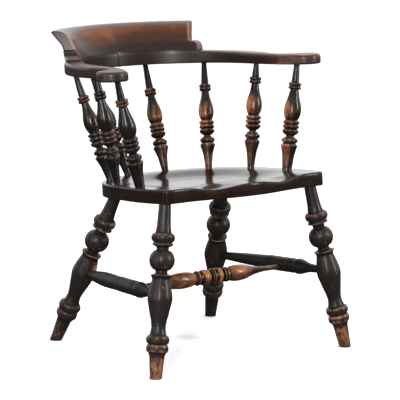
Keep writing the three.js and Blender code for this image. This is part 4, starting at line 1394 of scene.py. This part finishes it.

# %% [markdown]
# Its front and back are two curves, each a distance outwards at a height. The front is hollow below and
# rolls over at the top. Backs rub the middle of the front, more to the left of it, and hands its end
# edges. The front is darker towards the bottom.

# %% Crest
crest_front = np.array(through([
    (0, 0), (7, 12.7), (15.5, 27), (22.5, 39.4), (28.5, 54), (38, 65.5), (56, 71.5), (66, crest_height),
]))
crest_back = np.array(through([(43, 0), (51, 34), (66, 54), (78, 69)]) + [(75.5, crest_height)])
crest_rake, crest_set_in, crest_thickness = math.radians(7), 20, 40
lower_edge_sharp = 0.2


def crest_surface(along, up, share, extra):
    front = np.interp(up, crest_front[:, 1], crest_front[:, 0])
    back = np.interp(up, crest_back[:, 1], crest_back[:, 0])
    outward = back + (front - back) * share - extra
    raked = 1 - math.tan(crest_rake) * up / (bow_back_depth * crest_end)
    x, y = bow_point(along / bow_back_depth * raked, outward - crest_set_in).T
    return tilted(np.stack([x, y, bow_top(y) + glue_gap + up], -1), arm_tilt, arm_height)


def crest_grain(along, up, share, extra):
    return np.stack([up, crest_thickness * share + extra, along], -1)


def crest_rub(along, up, share, extra):
    glow = 0.5 * hill(along, -35, 90) * hill(up, 46, 18) + 0.2 * hill(up, 40, 28)
    half_length = np.where(up > crest_step_height, crest_end, crest_step_end) * bow_back_depth
    end_edge = smoothstep(np.abs(along) - half_length, -7, -2)
    # Darker towards the bottom of the front
    low_down = 1 - smoothstep(up, 2, 30)
    return np.where(share == 1, glow + 1.2 * end_edge - 0.9 * low_down, -0.8) - 0.1


crest = saw_board("sawn_crest", flat_crest, edge_rows(bottom_round=1.5, top_round=2), crest_surface,
                  crest_grain, crest_rub, spacing=5, material=crest_finish,
                  rounding=np.where(flat_crest[:, 1] < 1, lower_edge_sharp, rounded))
fit(crest, "crest_rail")

# %% [markdown]
# ## The screws and dowels
# Six slotted wood screws go up through the arms into the crest, and show only from below. One tree makes
# them: a cone for the head, a rod and a point are joined and slotted, and a copy is set on each drawn
# point. The slots stop at chance angles, as a hand leaves them. The seed is fixed, so they are the same
# each time.

# %% Screws
def make_screw_tree():
    tree, given = new_tree("slotted_screws", [
        ("Head", "NodeSocketFloat", 9 * MM),
        ("Head height", "NodeSocketFloat", 3.6 * MM),
        ("Shank", "NodeSocketFloat", 5 * MM),
        ("Shank length", "NodeSocketFloat", 43 * MM),
        ("Point length", "NodeSocketFloat", 8 * MM),
        ("Slot", "NodeSocketFloat", 1.3 * MM),
        ("Into the wood", "NodeSocketVector", (0, 0, 1)),
        ("Seed", "NodeSocketInt", 4),
        ("Material", "NodeSocketMaterial", None),
    ])
    head_radius = add(tree, "ShaderNodeMath", {"operation": "MULTIPLY"}, {0: given["Head"], 1: 0.5})
    shank_radius = add(tree, "ShaderNodeMath", {"operation": "MULTIPLY"}, {0: given["Shank"], 1: 0.5})
    parts = []
    for bottom, top, depth, start in (
            (head_radius, shank_radius, given["Head height"], None),
            (shank_radius, shank_radius, given["Shank length"], None),
            (shank_radius, 0.3 * MM, given["Point length"], given["Shank length"])):
        cone = add(tree, "GeometryNodeMeshCone", None,
                   {"Vertices": 24, "Radius Bottom": bottom, "Radius Top": top, "Depth": depth})
        place = add(tree, "ShaderNodeCombineXYZ", None, {"Z": start} if start else {})
        parts.append(add(tree, "GeometryNodeTransform", None, {"Geometry": cone, "Translation": place}))
    slot_size = add(tree, "ShaderNodeCombineXYZ", None,
                    {"X": given["Slot"], "Y": 12 * MM, "Z": given["Head height"]})
    slot = add(tree, "GeometryNodeMeshCube", None, {"Size": slot_size})
    screw = add(tree, "GeometryNodeMeshBoolean", {"operation": "UNION", "solver": "EXACT"},
                {1: tuple(parts)})
    screw = add(tree, "GeometryNodeMeshBoolean", {"operation": "DIFFERENCE", "solver": "EXACT"},
                {0: screw, 1: slot})
    aimed = add(tree, "FunctionNodeAlignRotationToVector", {"axis": "Z"},
                {"Vector": given["Into the wood"]})
    driven = add(tree, "GeometryNodeInstanceOnPoints", None,
                 {"Points": given["Geometry"], "Instance": screw, "Rotation": aimed})
    chance = add(tree, "FunctionNodeRandomValue", {"data_type": "FLOAT_VECTOR"},
                 {"Min": (0, 0, 0), "Max": (0, 0, math.pi), "Seed": given["Seed"]})
    driven = add(tree, "GeometryNodeRotateInstances", None, {"Instances": driven, "Rotation": chance})
    real = add(tree, "GeometryNodeRealizeInstances", None, {"Geometry": driven})
    finished = add(tree, "GeometryNodeSetMaterial", None, {"Geometry": real, "Material": given["Material"]})
    add(tree, "NodeGroupOutput", None, {"Geometry": finished})
    return tree


screw_tree = make_screw_tree()
print("screws:", len(screw_tree.nodes), "nodes")


# %% [markdown]
# The screws are plain steel, a hundred years on. Their points lie under the bow line, where the crest is
# thick enough to hold them.

# %% Set the screws
def dull_steel():
    # Plain steel screws a hundred years on: grey with a dull shine, and brown bloom in patches 4 mm across
    material, tree = new_material("steel_dull_wood_screws")
    place = add(tree, "ShaderNodeTexCoord").outputs["Object"]
    bloom = add(tree, "ShaderNodeTexNoise", None, {"Vector": place, "Scale": 260, "Detail": 4})
    bloom = add(tree, "ShaderNodeMapRange", {"interpolation_type": "SMOOTHSTEP"},
                {"Value": bloom, "From Min": 0.45, "From Max": 0.62})
    scratches = add(tree, "ShaderNodeTexNoise", None, {"Vector": place, "Scale": 1600, "Detail": 2})
    colour = add(tree, "ShaderNodeMix", {"data_type": "RGBA"},
                 {"Factor": bloom, "A": linear("#85827d"), "B": linear("#4d3a2c")})
    roughness = add(tree, "ShaderNodeMath", {"operation": "MULTIPLY_ADD"}, {0: bloom, 1: 0.3, 2: 0.38})
    bump = add(tree, "ShaderNodeBump", None, {"Strength": 0.4, "Distance": 0.0001, "Height": scratches})
    steel = add(tree, "ShaderNodeBsdfPrincipled", None,
                {"Base Color": colour, "Metallic": 1, "Roughness": roughness, "Normal": bump})
    add(tree, "ShaderNodeOutputMaterial", None, {"Surface": steel})
    return material


screw_angles, screw_proud = (9, 34, 46), 0.2
plan = [bow_point(side * math.radians(angle)) for _, side in both_sides for angle in screw_angles]
heads = [tuple(in_model(on_arms(x, y, -screw_proud))) for x, y in plan]
marks = bpy.data.meshes.new("screw_marks")
marks.from_pydata(heads, [], [])
into_wood = on_arms(0, 0, 1) - on_arms(0, 0, 0)
screws = run_tree("crest_screws", marks, screw_tree, {
    "Into the wood": tuple(into_wood), "Material": dull_steel(),
})
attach(screws, "root")
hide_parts(*[f"crest_screw_{number + 1}" for number in range(len(heads))])
print("screws:", len(screws.data.vertices), "points,", round(volume_of(screws.data), 2), "cm3")


# %% [markdown]
# The two dowels across the joint of the arms are hidden in the wood. The CAD's own shapes are right, so
# they stay, and only get the pale beech that dowels are made of.

# %% Dowels
def plain_beech():
    # Beech straight from the plane: pale pink brown, dry, with fine darker pores along the dowel
    material, tree = new_material("beech_unfinished_dowels")
    place = add(tree, "ShaderNodeTexCoord").outputs["Object"]
    along = add(tree, "ShaderNodeMapping", None, {"Vector": place, "Scale": (0.08, 1, 1)})
    pores = add(tree, "ShaderNodeTexNoise", None, {"Vector": along, "Scale": 1200, "Detail": 3})
    colour = add(tree, "ShaderNodeMix", {"data_type": "RGBA"},
                 {"Factor": pores, "A": linear("#c79f74"), "B": linear("#9f7750")})
    bump = add(tree, "ShaderNodeBump", None, {"Strength": 0.3, "Distance": 0.0001, "Height": pores})
    beech = add(tree, "ShaderNodeBsdfPrincipled", None,
                {"Base Color": colour, "Roughness": 0.7, "Normal": bump})
    add(tree, "ShaderNodeOutputMaterial", None, {"Surface": beech})
    return material


dowel_finish = plain_beech()
for node in ("joint_dowel_upper", "joint_dowel_lower"):
    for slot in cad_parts[node].material_slots:
        slot.material = dowel_finish
print("dowels:", dowel_finish.name)
